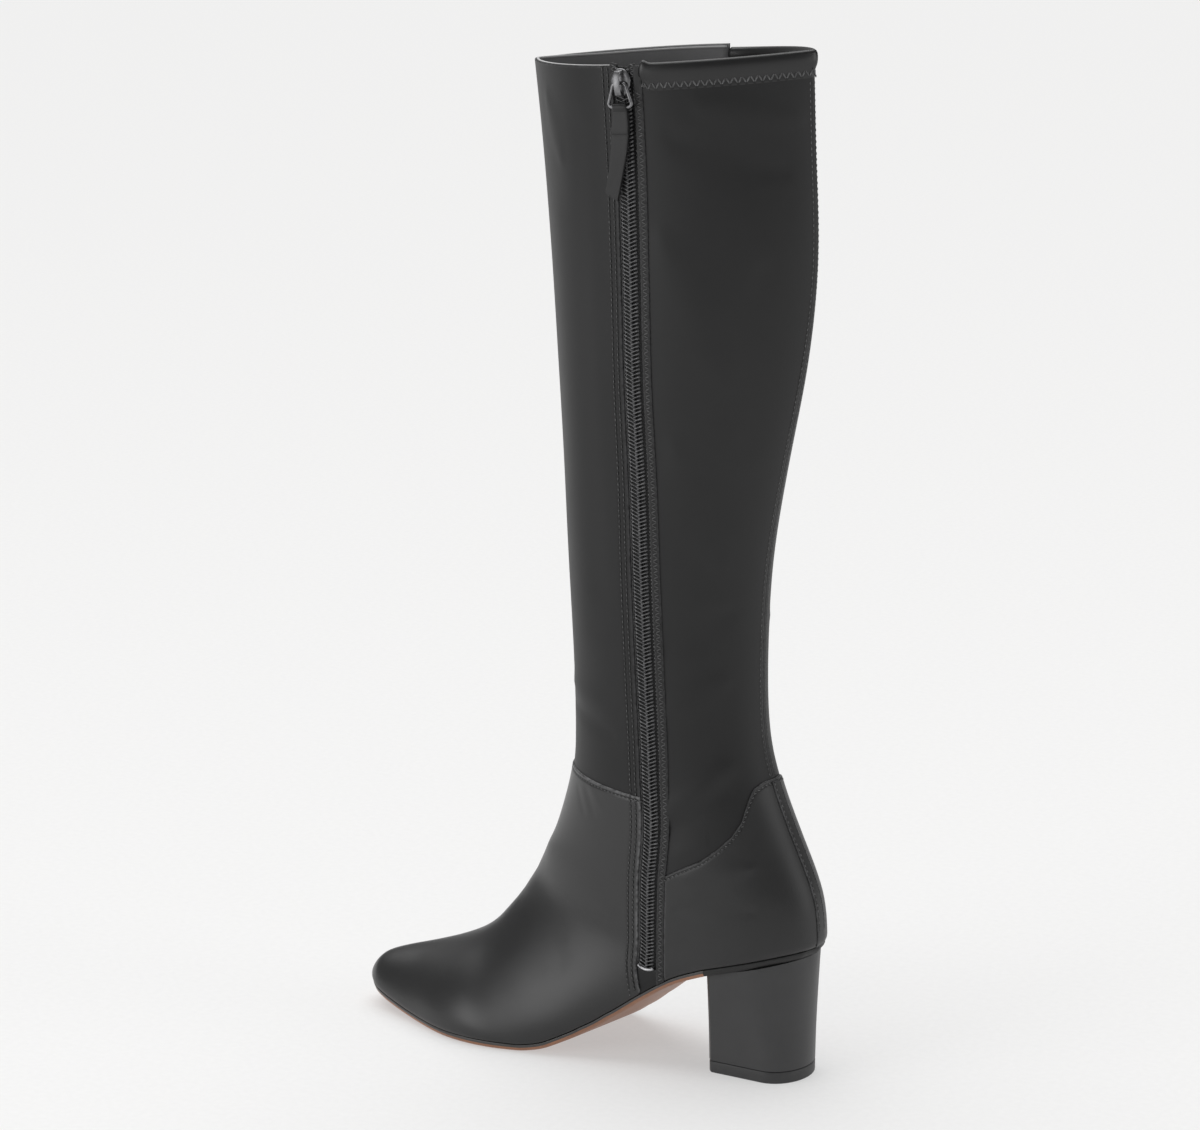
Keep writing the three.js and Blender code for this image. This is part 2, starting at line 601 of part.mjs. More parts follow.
function makeBottomStop() {
  const top = ZIP_BOTTOM - GAP * 2;
  return layer(GAP, GAP + STOP_THICKNESS).intersect(zipBlock(ZIP_SLOT - GAP * 2, top - STOP_HEIGHT, top));
}

// The slider's own frame: x across the zip towards the heel, y up the zip, z out of the boot.
const SLIDER_Z = COLLAR_HEIGHT - ZIP_TOP_DROP - SLIDER_LENGTH / 2;
function sliderFrame() {
  const at = (dx, dz) => surfacePoint(zipX(SLIDER_Z + dz) + dx, SLIDER_Z + dz, MEDIAL);
  const reach = SLIDER_LENGTH / 2;
  const across = at(reach, 0).sub(at(-reach, 0));
  const out = new THREE.Vector3(across.y, -across.x, 0).normalize();
  const along = at(0, reach).sub(at(0, -reach));
  const up = along.addScaledVector(out, -along.dot(out)).normalize();
  const side = new THREE.Vector3().crossVectors(up, out).normalize();
  return new THREE.Matrix4().makeBasis(side, up, out).setPosition(at(0, 0));
}
const SLIDER_FRAME = sliderFrame();
const onSlider = (geometry) => geometry.applyMatrix4(SLIDER_FRAME);

function roundedShape(corners, radius, steps) {
  const points = [];
  corners.forEach(([x, y], i) => {
    const here = new THREE.Vector2(x, y);
    const before = new THREE.Vector2(...corners[(i + corners.length - 1) % corners.length]);
    const after = new THREE.Vector2(...corners[(i + 1) % corners.length]);
    const start = here.clone().add(before.sub(here).setLength(radius));
    const end = here.clone().add(after.sub(here).setLength(radius));
    points.push(...new THREE.QuadraticBezierCurve(start, here, end).getPoints(steps));
  });
  return points;
}

const PLATE_BASE = TEETH_THICKNESS - UPPER_WALL + GAP; // above the upper's surface
const PLATE_TOP = PLATE_BASE + SLIDER_PLATE;
const HINGE_RISE = PLATE_TOP + (BRIDGE_RISE - BRIDGE_BAR) / 2;

const extrude = (corners, radius, depth) => new THREE.ExtrudeGeometry(
  new THREE.Shape(roundedShape(corners, radius, CORNER_STEPS)),
  { depth, bevelEnabled: false },
);

// A shape drawn along and out of the zip, made into a bar across it.
const acrossZip = (corners, radius, width) => extrude(corners, radius, width)
  .translate(0, 0, -width / 2)
  .rotateZ(Math.PI / 2)
  .rotateY(Math.PI / 2);

function makeSlider() {
  const half = SLIDER_WIDTH / 2;
  const long = SLIDER_LENGTH / 2;
  const nose = half * SLIDER_NOSE;
  const shoulder = long * SLIDER_SHOULDER;
  const plate = solid(extrude(
    [[-half, shoulder], [-nose, -long], [nose, -long], [half, shoulder], [nose, long], [-nose, long]],
    SLIDER_CORNER,
    SLIDER_PLATE,
  ).translate(0, 0, PLATE_BASE));
  const foot = long * BRIDGE_REACH;
  const crown = foot - BRIDGE_SLANT;
  const arch = solid(acrossZip(
    [[-foot, -BRIDGE_SINK], [foot, -BRIDGE_SINK], [crown, BRIDGE_RISE], [-crown, BRIDGE_RISE]],
    BRIDGE_BAR,
    BRIDGE_WIDTH,
  ).translate(0, 0, PLATE_TOP));
  const sill = foot - BRIDGE_BAR;
  const lintel = crown - BRIDGE_BAR;
  const height = BRIDGE_RISE - BRIDGE_BAR;
  const opening = solid(acrossZip(
    [[-sill, 0], [sill, 0], [lintel, height], [-lintel, height]],
    BRIDGE_BAR / 2,
    BRIDGE_WIDTH * 2,
  ).translate(0, 0, PLATE_TOP));
  return plate.add(arch.subtract(opening));
}

// The pull: a wire ring through the bridge, wider at its lower bar, and a leather tab folded round that bar.
function makeRing() {
  const top = RING_NARROW / 2;
  const low = RING_WIDTH / 2;
  const corners = [[-top, 0], [-low, -RING_LENGTH], [low, -RING_LENGTH], [top, 0]];
  const path = roundedShape(corners, RING_CORNER, 4);
  const turn = new THREE.Vector3(0, 0, 1);
  const rings = path.map((p, i) => {
    const before = path[(i + path.length - 1) % path.length];
    const after = path[(i + 1) % path.length];
    const tangent = new THREE.Vector3(after.x - before.x, after.y - before.y, 0).normalize();
    const away = new THREE.Vector3().crossVectors(tangent, turn);
    const ring = [];
    for (let k = 0; k < WIRE_SIDES; k += 1) {
      const angle = (2 * Math.PI * k) / WIRE_SIDES;
      ring.push(new THREE.Vector3(p.x, p.y, HINGE_RISE)
        .addScaledVector(away, (RING_WIRE / 2) * Math.cos(angle))
        .addScaledVector(turn, (RING_WIRE / 2) * Math.sin(angle)));
    }
    return ring;
  });
  const faces = [];
  for (let i = 0; i < rings.length; i += 1) {
    for (let k = 0; k < WIRE_SIDES; k += 1) {
      const a = i * WIRE_SIDES + k;
      const b = i * WIRE_SIDES + ((k + 1) % WIRE_SIDES);
      const c = ((i + 1) % rings.length) * WIRE_SIDES + k;
      const d = ((i + 1) % rings.length) * WIRE_SIDES + ((k + 1) % WIRE_SIDES);
      faces.push(a, b, d, a, d, c);
    }
  }
  return solid(new THREE.BufferGeometry().setFromPoints(rings.flat()).setIndex(faces));
}

function makeTab() {
  const eye = RING_WIRE / 2 + GAP;
  const outer = eye + TAB_THICKNESS;
  const seam = Math.asin(TAB_THICKNESS / outer);
  const profile = new THREE.Shape();
  profile.absarc(0, 0, outer, seam - Math.PI / 2, 1.5 * Math.PI - seam, false);
  profile.lineTo(-TAB_THICKNESS, -TAB_LENGTH);
  profile.lineTo(TAB_THICKNESS, -TAB_LENGTH);
  profile.holes.push(new THREE.Path().absarc(0, 0, eye, 0, 2 * Math.PI, true));
  const width = TAB_WIDTH * 4;
  const strip = new THREE.ExtrudeGeometry(profile, {
    depth: width, bevelEnabled: false, curveSegments: CURVE_SEGMENTS,
  }).translate(0, 0, -width / 2).rotateY(Math.PI / 2);
  const neck = TAB_NECK / 2;
  const half = TAB_WIDTH / 2;
  const lean = TAB_LEAN * TAB_SHOULDER;
  const shoulder = -TAB_LENGTH * TAB_SHOULDER;
  const front = [
    [-neck, outer * 2], [-neck, -outer * 2], [-half - lean, shoulder], [-half - TAB_LEAN, -TAB_LENGTH],
    [half - TAB_LEAN, TAB_CUT - TAB_LENGTH], [half - lean, shoulder], [neck, -outer * 2], [neck, outer * 2],
  ];
  const block = new THREE.ExtrudeGeometry(new THREE.Shape(front.map(([x, y]) => new THREE.Vector2(x, y))), {
    depth: outer * 4, bevelEnabled: false,
  }).translate(0, 0, -outer * 2);
  const hang = new THREE.Matrix4().makeTranslation(0, -RING_LENGTH, HINGE_RISE);
  return solid(strip.applyMatrix4(hang)).intersect(solid(block.applyMatrix4(hang)));
}

const boot = new THREE.Group();
boot.name = 'knee_high_boot';

function addPiece(name, geometry, colour, metalness, roughness) {
  const material = new THREE.MeshStandardMaterial({ color: colour, metalness, roughness });
  const mesh = new THREE.Mesh(geometry, material);
  mesh.name = name;
  boot.add(mesh);
}

addPiece('upper', geometryOf(makeUpper()), 0x1d1d1f, 0, 0.5);
addPiece('counter', geometryOf(makeCounter()), 0x1a1a1c, 0, 0.5);
addPiece('collar_hem', geometryOf(makeHem()), 0x202022, 0, 0.6);
addPiece('insole', geometryOf(makeInsole()), 0x3a3632, 0, 0.8);
addPiece('outsole', geometryOf(makeOutsole()), 0x241d1a, 0, 0.6);
addPiece('heel_block', geometryOf(makeHeelBlock()), 0x151515, 0, 0.4);
addPiece('heel_lift', geometryOf(makeHeelLift()), 0x121212, 0, 0.7);
addPiece('zip_tape', geometryOf(makeZipTape()), 0x161617, 0, 0.9);
addPiece('zip_teeth', geometryOf(makeZipTeeth()), 0x1b1b1d, 0, 0.5);
addPiece('zip_bottom_stop', geometryOf(makeBottomStop()), 0x8a8a8c, 1, 0.3);
addPiece('zip_slider', onSlider(geometryOf(makeSlider())), 0x77777a, 1, 0.3);
addPiece('pull_ring', onSlider(geometryOf(makeRing())), 0x77777a, 1, 0.3);
addPiece('pull_tab', onSlider(geometryOf(makeTab())), 0x1c1c1e, 0, 0.5);

export default boot;
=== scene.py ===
import math

import bmesh
import bpy
import numpy as np
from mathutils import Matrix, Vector


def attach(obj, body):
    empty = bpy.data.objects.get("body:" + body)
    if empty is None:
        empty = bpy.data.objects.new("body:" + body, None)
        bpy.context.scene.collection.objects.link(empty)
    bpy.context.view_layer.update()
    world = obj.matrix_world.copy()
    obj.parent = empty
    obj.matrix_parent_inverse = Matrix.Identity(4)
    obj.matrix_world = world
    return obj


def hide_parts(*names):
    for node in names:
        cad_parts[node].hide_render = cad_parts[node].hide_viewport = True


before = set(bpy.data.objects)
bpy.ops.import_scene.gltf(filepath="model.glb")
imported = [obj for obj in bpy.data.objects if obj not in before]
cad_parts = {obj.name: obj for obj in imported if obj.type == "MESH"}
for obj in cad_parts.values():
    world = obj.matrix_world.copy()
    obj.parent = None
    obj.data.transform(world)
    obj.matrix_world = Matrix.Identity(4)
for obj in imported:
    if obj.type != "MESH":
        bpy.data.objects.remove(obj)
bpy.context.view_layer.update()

MM = 0.001
MERGE_DISTANCE = 0.00002  # metres

# ---- Sizes in millimetres, the same as the solids' ----

FOOT_LENGTH = 240
BALL_WIDTH = 80
HEEL_HEIGHT = 61
HEEL_BACK = 26.5
INSTEP_HEIGHT = 137
ANKLE_HEIGHT = 160
ANKLE_DEPTH = 98
ANKLE_WIDTH = 66
CALF_DEPTH = 142
CALF_WIDTH = 90
COLLAR_HEIGHT = 471
COLLAR_RISE = 12.5
TOE_SWING = 11
SOLE_THICKNESS = 3.4
WAIST_CANT = 2
HEEL_HALF_WIDTH = 25.5
SOLE_SINK = 10
ZIP_SLOT = 10
PLACKET = 4
SIDE_SEAM_X = HEEL_BACK - 0.27 * FOOT_LENGTH
SHAFT_SEAM_X = HEEL_BACK - 0.317 * FOOT_LENGTH
VAMP_TOP_FRONT = 137
VAMP_TOP_SIDE = 132.8
VAMP_FRONT_X = HEEL_BACK - 0.56 * FOOT_LENGTH
COUNTER_HEIGHT = 141.5

# Sections of the boot, as in the solids: shaft, heel, foot.
SHAFT_ROWS = (  # height, middle, depth, width, rise, front, back
    (1.0, 0.3355, 1.05, 1.0, 1.0, 0.85, 0.9),
    (0.87, 0.322, 0.96, 1.02, 0.85, 0.8, 0.85),
    (0.71, 0.308, 0.89, 1.0, 0.7, 0.75, 0.78),
    (0.56, 0.311, 0.69, 0.83, 0.5, 0.7, 0.7),
    (0.41, 0.325, 0.38, 0.58, 0.3, 0.66, 0.64),
    (0.26, 0.337, 0.13, 0.3, 0.1, 0.62, 0.6),
    (0.11, 0.335, 0.01, 0.08, 0, 0.58, 0.57),
    (0, 0.329, 0.01, 0, 0, 0.55, 0.55),
)
HEEL_ROWS = (  # top x, top z, back x, back z, width, front, back
    (0.537, 1.0, 0.098, 1.0, 1.0, 0.54, 0.54),
    (0.557, 0.861, 0.056, 0.69, 1.0, 0.53, 0.52),
    (0.578, 0.752, 0.018, 0.41, 1.0, 0.52, 0.5),
    (0.597, 0.679, 0.002, 0.18, 0.985, 0.5, 0.46),
)
FOOT_ROWS = (  # top x, top z, sole x, inner, outer, swing, front, back
    (0.614, 0.62, 0.008, 0.79, 0.79, 0, 0.5, 0.4),
    (0.629, 0.569, 0.081, 0.775, 0.775, 0, 0.5, 0.25),
    (0.648, 0.518, 0.185, 0.77, 0.76, 0, 0.5, 0.2),
    (0.668, 0.467, 0.31, 0.82, 0.775, 0, 0.5, 0.18),
    (0.691, 0.415, 0.435, 0.95, 0.83, 0, 0.5, 0.17),
    (0.718, 0.36, 0.548, 1.09, 0.91, 0.02, 0.5, 0.17),
    (0.755, 0.31, 0.644, 1.13, 0.94, 0.15, 0.5, 0.18),
    (0.81, 0.264, 0.735, 1.0, 0.84, 0.35, 0.5, 0.19),
    (0.873, 0.226, 0.823, 0.75, 0.67, 0.56, 0.5, 0.2),
    (0.927, 0.198, 0.894, 0.54, 0.5, 0.75, 0.5, 0.24),
    (0.969, 0.17, 0.948, 0.365, 0.35, 0.9, 0.48, 0.3),
    (0.99, 0.138, 0.98, 0.22, 0.215, 0.97, 0.48, 0.36),
)
TOE_TIP = np.array((HEEL_BACK - FOOT_LENGTH, -TOE_SWING, 0.09 * INSTEP_HEIGHT))
SOLE_ROWS = np.array((  # along, rise, cant
    (-0.08, 1.03, 0), (0.01, 1.0, 0), (0.1, 0.915, 0), (0.19, 0.81, 0.15), (0.26, 0.685, 0.35),
    (0.33, 0.503, 0.5), (0.4, 0.295, 0.8), (0.45, 0.155, 1), (0.49, 0.06, 1.05), (0.53, 0.014, 0.45),
    (0.575, 0, 0.05), (0.74, 0, 0), (0.84, 0.022, 0), (0.93, 0.075, 0), (1.0, 0.145, 0), (1.08, 0.25, 0),
))
COUNTER_ROWS = np.array((  # along, height
    (0.3, 0.66), (0.267, 0.682), (0.234, 0.714), (0.192, 0.751), (0.161, 0.795),
    (0.14, 0.835), (0.127, 0.88), (0.124, 0.93), (0.12, 0.98), (0.11, 1.0), (-0.2, 1.0),
))
ZIP_ROWS = np.array((  # height, along
    (0, 0.314), (0.1, 0.311), (0.2, 0.3025), (0.25, 0.2955), (0.3, 0.3), (0.4, 0.308), (0.5, 0.3115),
    (0.6, 0.3105), (0.7, 0.3135), (0.8, 0.314), (0.9, 0.32), (1.0, 0.333), (1.1, 0.346),
))

def along_foot(share):
    return HEEL_BACK - share * FOOT_LENGTH

def smooth(a, b, c, d, t):
    """The curve through four neighbouring values that the solids are made with."""
    m0, m1 = (c - a) / 2, (d - b) / 2
    return (2 * t**3 - 3 * t**2 + 1) * b + (t**3 - 2 * t**2 + t) * m0 + (3 * t**2 - 2 * t**3) * c + (t**3 - t**2) * m1

def read_table(rows, column, key):
    key = np.asarray(key, float)
    last = len(rows) - 1
    i = np.clip(np.searchsorted(rows[:, 0], key) - 1, 0, last - 1)
    t = np.clip((key - rows[i, 0]) / (rows[i + 1, 0] - rows[i, 0]), 0, 1)
    v = rows[:, column]
    return smooth(v[np.clip(i - 1, 0, last)], v[i], v[i + 1], v[np.clip(i + 2, 0, last)], t)

def run_along(path):
    """The length of a path up to each of its points."""
    return np.concatenate(([0], np.cumsum(np.linalg.norm(np.diff(path, axis=0), axis=1))))

def run_across(paths):
    """The same for a row of paths."""
    steps = np.linalg.norm(np.diff(paths, axis=1), axis=2)
    return np.concatenate((np.zeros((len(paths), 1)), np.cumsum(steps, 1)), 1)

def sole_top(x, y):
    along = (HEEL_BACK - np.asarray(x)) / FOOT_LENGTH
    rise = np.maximum(read_table(SOLE_ROWS, 1, along), 0)
    return SOLE_THICKNESS + rise * HEEL_HEIGHT - read_table(SOLE_ROWS, 2, along) * WAIST_CANT * y / HEEL_HALF_WIDTH

def section_table():
    """front x and z, back x and z, inner and outer half width, centre, front and back roundness."""
    rows = []
    for height, middle, depth, width, rise, front, back in SHAFT_ROWS:
        x, z = along_foot(middle), ANKLE_HEIGHT + height * (COLLAR_HEIGHT - ANKLE_HEIGHT)
        d = (ANKLE_DEPTH + depth * (CALF_DEPTH - ANKLE_DEPTH)) / 2
        half = (ANKLE_WIDTH + width * (CALF_WIDTH - ANKLE_WIDTH)) / 2
        up = rise * COLLAR_RISE / 2
        rows.append((x - d, z - up, x + d, z + up, half, half, 0, front, back))
    for top_x, top_z, back_x, back_z, width, front, back in HEEL_ROWS:
        x, half = along_foot(back_x), width * ANKLE_WIDTH / 2
        low = float(sole_top(x, 0))
        rows.append((along_foot(top_x), top_z * INSTEP_HEIGHT, x, low + back_z * (INSTEP_HEIGHT - low),
                     half, half, 0, front, back))
    for top_x, top_z, sole_x, inner, outer, swing, front, back in FOOT_ROWS:
        x = along_foot(sole_x)
        rows.append((along_foot(top_x), top_z * INSTEP_HEIGHT, x, float(sole_top(x, 0)) - SOLE_SINK,
                     inner * BALL_WIDTH / 2, outer * BALL_WIDTH / 2, -swing * TOE_SWING, front, back))
    return np.array(rows)

SECTIONS = section_table()
LAST = len(SECTIONS) - 1
PER_ROW = 12  # made sections between two rows of the table
SIDE_POINTS = 96  # points on each side of a section
TIP_RINGS = 12  # rings that close the toe

def section_ring(place):
    """One section: the inner side from back to front, then the outer side from front to back, evenly spaced."""
    i = min(int(place), LAST - 1)
    rows = SECTIONS[np.clip([i - 1, i, i + 1, i + 2], 0, LAST)]
    fx, fz, bx, bz, inner, outer, centre, front, back = smooth(*rows, place - i)
    share = (1 - np.cos(np.linspace(0, math.pi, 400))) / 2
    widest = front / (front + back)
    full = (share / widest) ** front * ((1 - share) / (1 - widest)) ** back
    sides = []
    for half in (-inner, outer):
        p = np.stack((fx + (bx - fx) * share, centre + half * full, fz + (bz - fz) * share), 1)
        run = run_along(p)
        even = np.linspace(0, run[-1], SIDE_POINTS + 1)
        sides.append(np.stack([np.interp(even, run, p[:, k]) for k in range(3)], 1))
    return np.concatenate((sides[0][::-1], sides[1][1:]))

def boot_grid():
    rings = np.array([section_ring(p) for p in np.linspace(0, LAST, LAST * PER_ROW + 1)])
    weights = np.exp(-0.5 * (np.arange(-8, 9) / 3.2) ** 2)
    weights /= weights.sum()
    padded = np.concatenate((2 * rings[:1] - rings[8:0:-1], rings, 2 * rings[-1:] - rings[-2:-10:-1]))
    rings = sum(w * padded[k:k + len(rings)] for k, w in enumerate(weights))
    start = len(rings) - 1 - PER_ROW
    first = rings[start]
    count = PER_ROW + TIP_RINGS
    ahead = (rings[start + 1] - rings[start - 1]) / 2
    reach = np.linalg.norm(TOE_TIP - first, axis=1, keepdims=True)
    ahead *= 0.85 * reach / np.linalg.norm(ahead, axis=1, keepdims=True)
    closing = (TOE_TIP - first) * (0, 0.95, 0.95)
    tip = []
    for k in range(1, count + 1):
        u = k / count
        tip.append((2 * u**3 - 3 * u**2 + 1) * first + (u**3 - 2 * u**2 + u) * ahead
                   + (3 * u**2 - 2 * u**3) * TOE_TIP + (u**3 - u**2) * closing)
    return np.concatenate((rings[:start + 1], tip))

GRID = boot_grid()
PLACES = np.concatenate((np.linspace(0, LAST, LAST * PER_ROW + 1), LAST + np.arange(1, TIP_RINGS + 1) / TIP_RINGS))
ROUNDS = np.linspace(-1, 1, 2 * SIDE_POINTS + 1)

def grid_normals():
    down = np.gradient(GRID, axis=0)
    wide = np.concatenate((GRID[:, -2:-1], GRID, GRID[:, 1:2]), 1)
    across = wide[:, 2:] - wide[:, :-2]
    n = np.cross(across, down)
    n[-1] = n[-2].mean(0)
    return n / np.linalg.norm(n, axis=2, keepdims=True)

NORMALS = grid_normals()
if NORMALS[40, SIDE_POINTS, 0] > 0:
    NORMALS = -NORMALS

def look_up(grid, v, t):
    """A value of the grid at a place down the boot (v) and round it (t, -1 back, 0 front, 1 back again)."""
    v = np.clip(np.asarray(v, float), 0, PLACES[-1])
    t = (np.asarray(t, float) + 1) % 2 - 1
    i = np.where(v < LAST, v * PER_ROW, LAST * PER_ROW + (v - LAST) * TIP_RINGS)
    j = (t + 1) * SIDE_POINTS
    i0 = np.minimum(i.astype(int), len(grid) - 2)
    j0 = np.minimum(j.astype(int), grid.shape[1] - 2)
    a, b = (i - i0)[..., None], (j - j0)[..., None]
    n, m = len(grid) - 1, grid.shape[1] - 1
    lines = []
    for di in (-1, 0, 1, 2):
        r = np.clip(i0 + di, 0, n)
        taps = [grid[r, (j0 + dj) % m] for dj in (-1, 0, 1, 2)]
        lines.append(smooth(*taps, b))
    return smooth(*lines, a)

def surface(v, t):
    return look_up(GRID, v, t)

def outward(v, t):
    n = look_up(NORMALS, v, t)
    return n / np.linalg.norm(n, axis=-1, keepdims=True)

def zip_x(z):
    return along_foot(read_table(ZIP_ROWS, 1, np.asarray(z) / COLLAR_HEIGHT))

def vamp_edge(x):
    slope = (VAMP_TOP_SIDE - VAMP_TOP_FRONT) / (-50 - VAMP_FRONT_X)
    return VAMP_TOP_FRONT + slope * np.clip(np.asarray(x) - VAMP_FRONT_X, 0, 70)

def counter_edge(x):
    x = np.asarray(x)
    return COUNTER_HEIGHT * np.interp(-x, -along_foot(COUNTER_ROWS[::-1, 0]), COUNTER_ROWS[::-1, 1])

def first_zero(values, steps):
    """Where each column of values first turns from positive to negative, in steps."""
    falls = (values[:-1] > 0) & (values[1:] <= 0)
    found = falls.any(0)
    k = np.where(found, falls.argmax(0), len(values) - 2)
    cols = np.arange(values.shape[1])
    a, b = values[k, cols], values[k + 1, cols]
    share = np.where(found, a / np.where(a - b == 0, 1, a - b), 1.0)
    crossing = steps[k] + (steps[k + 1] - steps[k]) * share
    return np.where(values[0] <= 0, steps[0], crossing)

def zip_round(shift):
    """For each place down the boot, where a line beside the zip lies round it."""
    inner = GRID[:, :SIDE_POINTS + 1]
    bend = 2.6 * np.clip((52 - inner[..., 2]) / 15, 0, 1) ** 1.5 * (shift < -1)
    values = inner[..., 0] - zip_x(inner[..., 2]) - shift - bend
    return first_zero(values.T, ROUNDS[:SIDE_POINTS + 1])

def outer_round(x):
    outer = GRID[:, SIDE_POINTS:]
    return -first_zero((outer[..., 0] - x)[:, ::-1].T, -ROUNDS[SIDE_POINTS:][::-1])

def feather_round(side, lift):
    """For each place down the boot, where the surface meets the sole, from the front."""
    part = GRID[:, :SIDE_POINTS + 1][:, ::-1] if side < 0 else GRID[:, SIDE_POINTS:]
    values = part[..., 2] - sole_top(part[..., 0], part[..., 1]) - lift
    steps = np.linspace(0, 1, SIDE_POINTS + 1)
    return side * first_zero(values.T, steps)


class Patch:
    """A part of the boot's surface between two lines down it and two edges across it."""

    def __init__(self, left, right, above=None, below=None, columns=90, rows=120, side_insets=(), end_insets=()):
        share = np.linspace(0, 1, 401)
        rounds = left[:, None] + (right - left)[:, None] * share
        line = surface(PLACES[:, None], rounds)
        run = run_across(line)
        width = run[:, -1]
        wanted = spread(width, columns, side_insets)
        down = np.array([np.interp(w, r, t) for w, r, t in zip(wanted, run, rounds)])
        points = surface(PLACES[:, None], down)
        start = np.zeros(down.shape[1]) if above is None else first_zero(above(points), PLACES)
        stop = np.full(down.shape[1], PLACES[-1]) if below is None else first_zero(below(points), PLACES)
        stop = np.maximum(stop, start + 1e-4)
        places, runs = [], []
        for j in range(down.shape[1]):
            v = np.linspace(start[j], stop[j], 900)
            t = np.interp(v, PLACES, down[:, j])
            p = surface(v, t)
            length = run_along(p)
            even = spread(length[-1:], rows, end_insets)[0]
            places.append(np.interp(even, length, v))
            runs.append(np.stack((even, length[-1] - even), 1))
        self.v = np.array(places).T
        self.t = np.array([np.interp(self.v[:, j], PLACES, down[:, j]) for j in range(down.shape[1])]).T
        self.points = surface(self.v, self.t)
        self.normals = outward(self.v, self.t)
        runs = np.array(runs)
        self.from_top, self.from_bottom = runs[..., 0].T, runs[..., 1].T
        across = np.array([np.interp(self.v[:, j], PLACES, wanted[:, j]) for j in range(down.shape[1])]).T
        whole = np.array([np.interp(self.v[:, j], PLACES, width) for j in range(down.shape[1])]).T
        self.from_left, self.from_right = across, whole - across

    def shell(self, name, outside, inside, material, body="boot", rounded="lrtb", edge=0.6, rim=None):
        """A closed sheet of leather or cloth on this part, with rounded edges on the sides that are named."""
        near = np.full(self.v.shape, 1e6)
        for key, distance in zip("lrtb", (self.from_left, self.from_right, self.from_top, self.from_bottom)):
            if key in rounded:
                near = np.minimum(near, distance)
        rise = np.sqrt(1 - (1 - np.clip(near / edge, 0, 1)) ** 2)
        middle = (np.asarray(outside) + inside) / 2
        top = self.points + self.normals * (middle + (outside - middle) * rise)[..., None]
        low = self.points + self.normals * (middle + (inside - middle) * rise)[..., None]
        uv = np.stack((self.from_left, self.from_top), -1) * MM
        return grid_piece(name, top, low, uv, material, body, near if rim is None else rim)


def spread(length, count, insets):
    """Distances along lines of these lengths: close ones at both ends, even ones between."""
    insets = np.asarray(insets, float)
    last = insets[-1] if len(insets) else 0
    fit = np.minimum(1, length / (last * 4 + 1e-9)) if last else np.ones(len(length))
    first = insets[None] * fit[:, None]
    low = last * fit
    inner = low[:, None] + (length - 2 * low)[:, None] * np.linspace(0, 1, count)
    if not len(insets):
        return inner
    return np.concatenate((first[:, :-1], inner, (length[:, None] - first)[:, :-1][:, ::-1]), 1)


def new_piece(name, verts, faces, uvs=None, material=None, body="boot", rim=None):
    """A mesh in millimetres becomes a piece. Its rim is how far each point lies from an edge that is painted lighter:
    rubbed wear, and on the vamp also painted highlight.
    """
    mesh = bpy.data.meshes.new(name)
    mesh.from_pydata((np.asarray(verts, float) * MM).tolist(), [], [list(map(int, f)) for f in faces])
    if uvs is not None:
        layer = mesh.uv_layers.new(name="UVMap")
        index = np.empty(len(mesh.loops), int)
        mesh.loops.foreach_get("vertex_index", index)
        layer.data.foreach_set("uv", np.asarray(uvs, float)[index].astype(np.float32).ravel())
    reach = np.full(len(mesh.vertices), 1000.0) if rim is None else np.asarray(rim, float)
    layer = mesh.attributes.new("rim", "FLOAT", "POINT")
    layer.data.foreach_set("value", (reach * MM).astype(np.float32))
    mesh.update()
    mesh.polygons.foreach_set("use_smooth", [True] * len(mesh.polygons))
    piece = bpy.data.objects.new(name, mesh)
    bpy.context.scene.collection.objects.link(piece)
    return finish_piece(piece, material, body)


def finish_piece(piece, material, body="boot"):
    if material is not None:
        piece.data.materials.clear()
        piece.data.materials.append(material)
    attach(piece, body)
    return piece


def grid_faces(rows, columns, start=0, flip=False):
    i = np.arange(rows - 1)[:, None] * columns + np.arange(columns - 1) + start
    quads = np.stack((i, i + columns, i + columns + 1, i + 1), -1).reshape(-1, 4)
    return quads[:, ::-1] if flip else quads


def tube_faces(rows, count):
    """The faces of a closed tube of rings, and of its two ends."""
    i = np.arange(rows - 1)[:, None] * count + np.arange(count)
    j = np.arange(rows - 1)[:, None] * count + (np.arange(count) + 1) % count
    faces = np.stack((i, j, j + count, i + count), -1).reshape(-1, 4).tolist()
    return faces + [list(range(count)), list(range((rows - 1) * count, rows * count))]


def grid_piece(name, top, low, uv, material, body, rim=None):
    """A closed sheet between two grids of points."""
    rows, columns = top.shape[:2]
    count = rows * columns
    i = np.arange(count).reshape(rows, columns)
    border = np.concatenate((i[0], i[1:, -1], i[-1, -2::-1], i[-2:0:-1, 0]))
    after = np.roll(border, -1)
    faces = np.concatenate((
        grid_faces(rows, columns),
        grid_faces(rows, columns, count, True),
        np.stack((border, after, after + count, border + count), 1),
    ))
    verts = np.concatenate((top.reshape(-1, 3), low.reshape(-1, 3)))
    uvs = np.concatenate((uv.reshape(-1, 2), uv.reshape(-1, 2)))
    near = None if rim is None else np.concatenate((rim.ravel(), rim.ravel()))
    piece = new_piece(name, verts, faces, uvs, material, body, rim=near)
    weld(piece)
    return piece


def weld(piece):
    """Merges double points and turns every face outwards."""
    mesh = bmesh.new()
    mesh.from_mesh(piece.data)
    bmesh.ops.remove_doubles(mesh, verts=mesh.verts, dist=MERGE_DISTANCE)
    bmesh.ops.dissolve_degenerate(mesh, edges=mesh.edges, dist=MERGE_DISTANCE / 2)
    bmesh.ops.recalc_face_normals(mesh, faces=mesh.faces)
    mesh.to_mesh(piece.data)
    mesh.free()


# ---- Materials ----

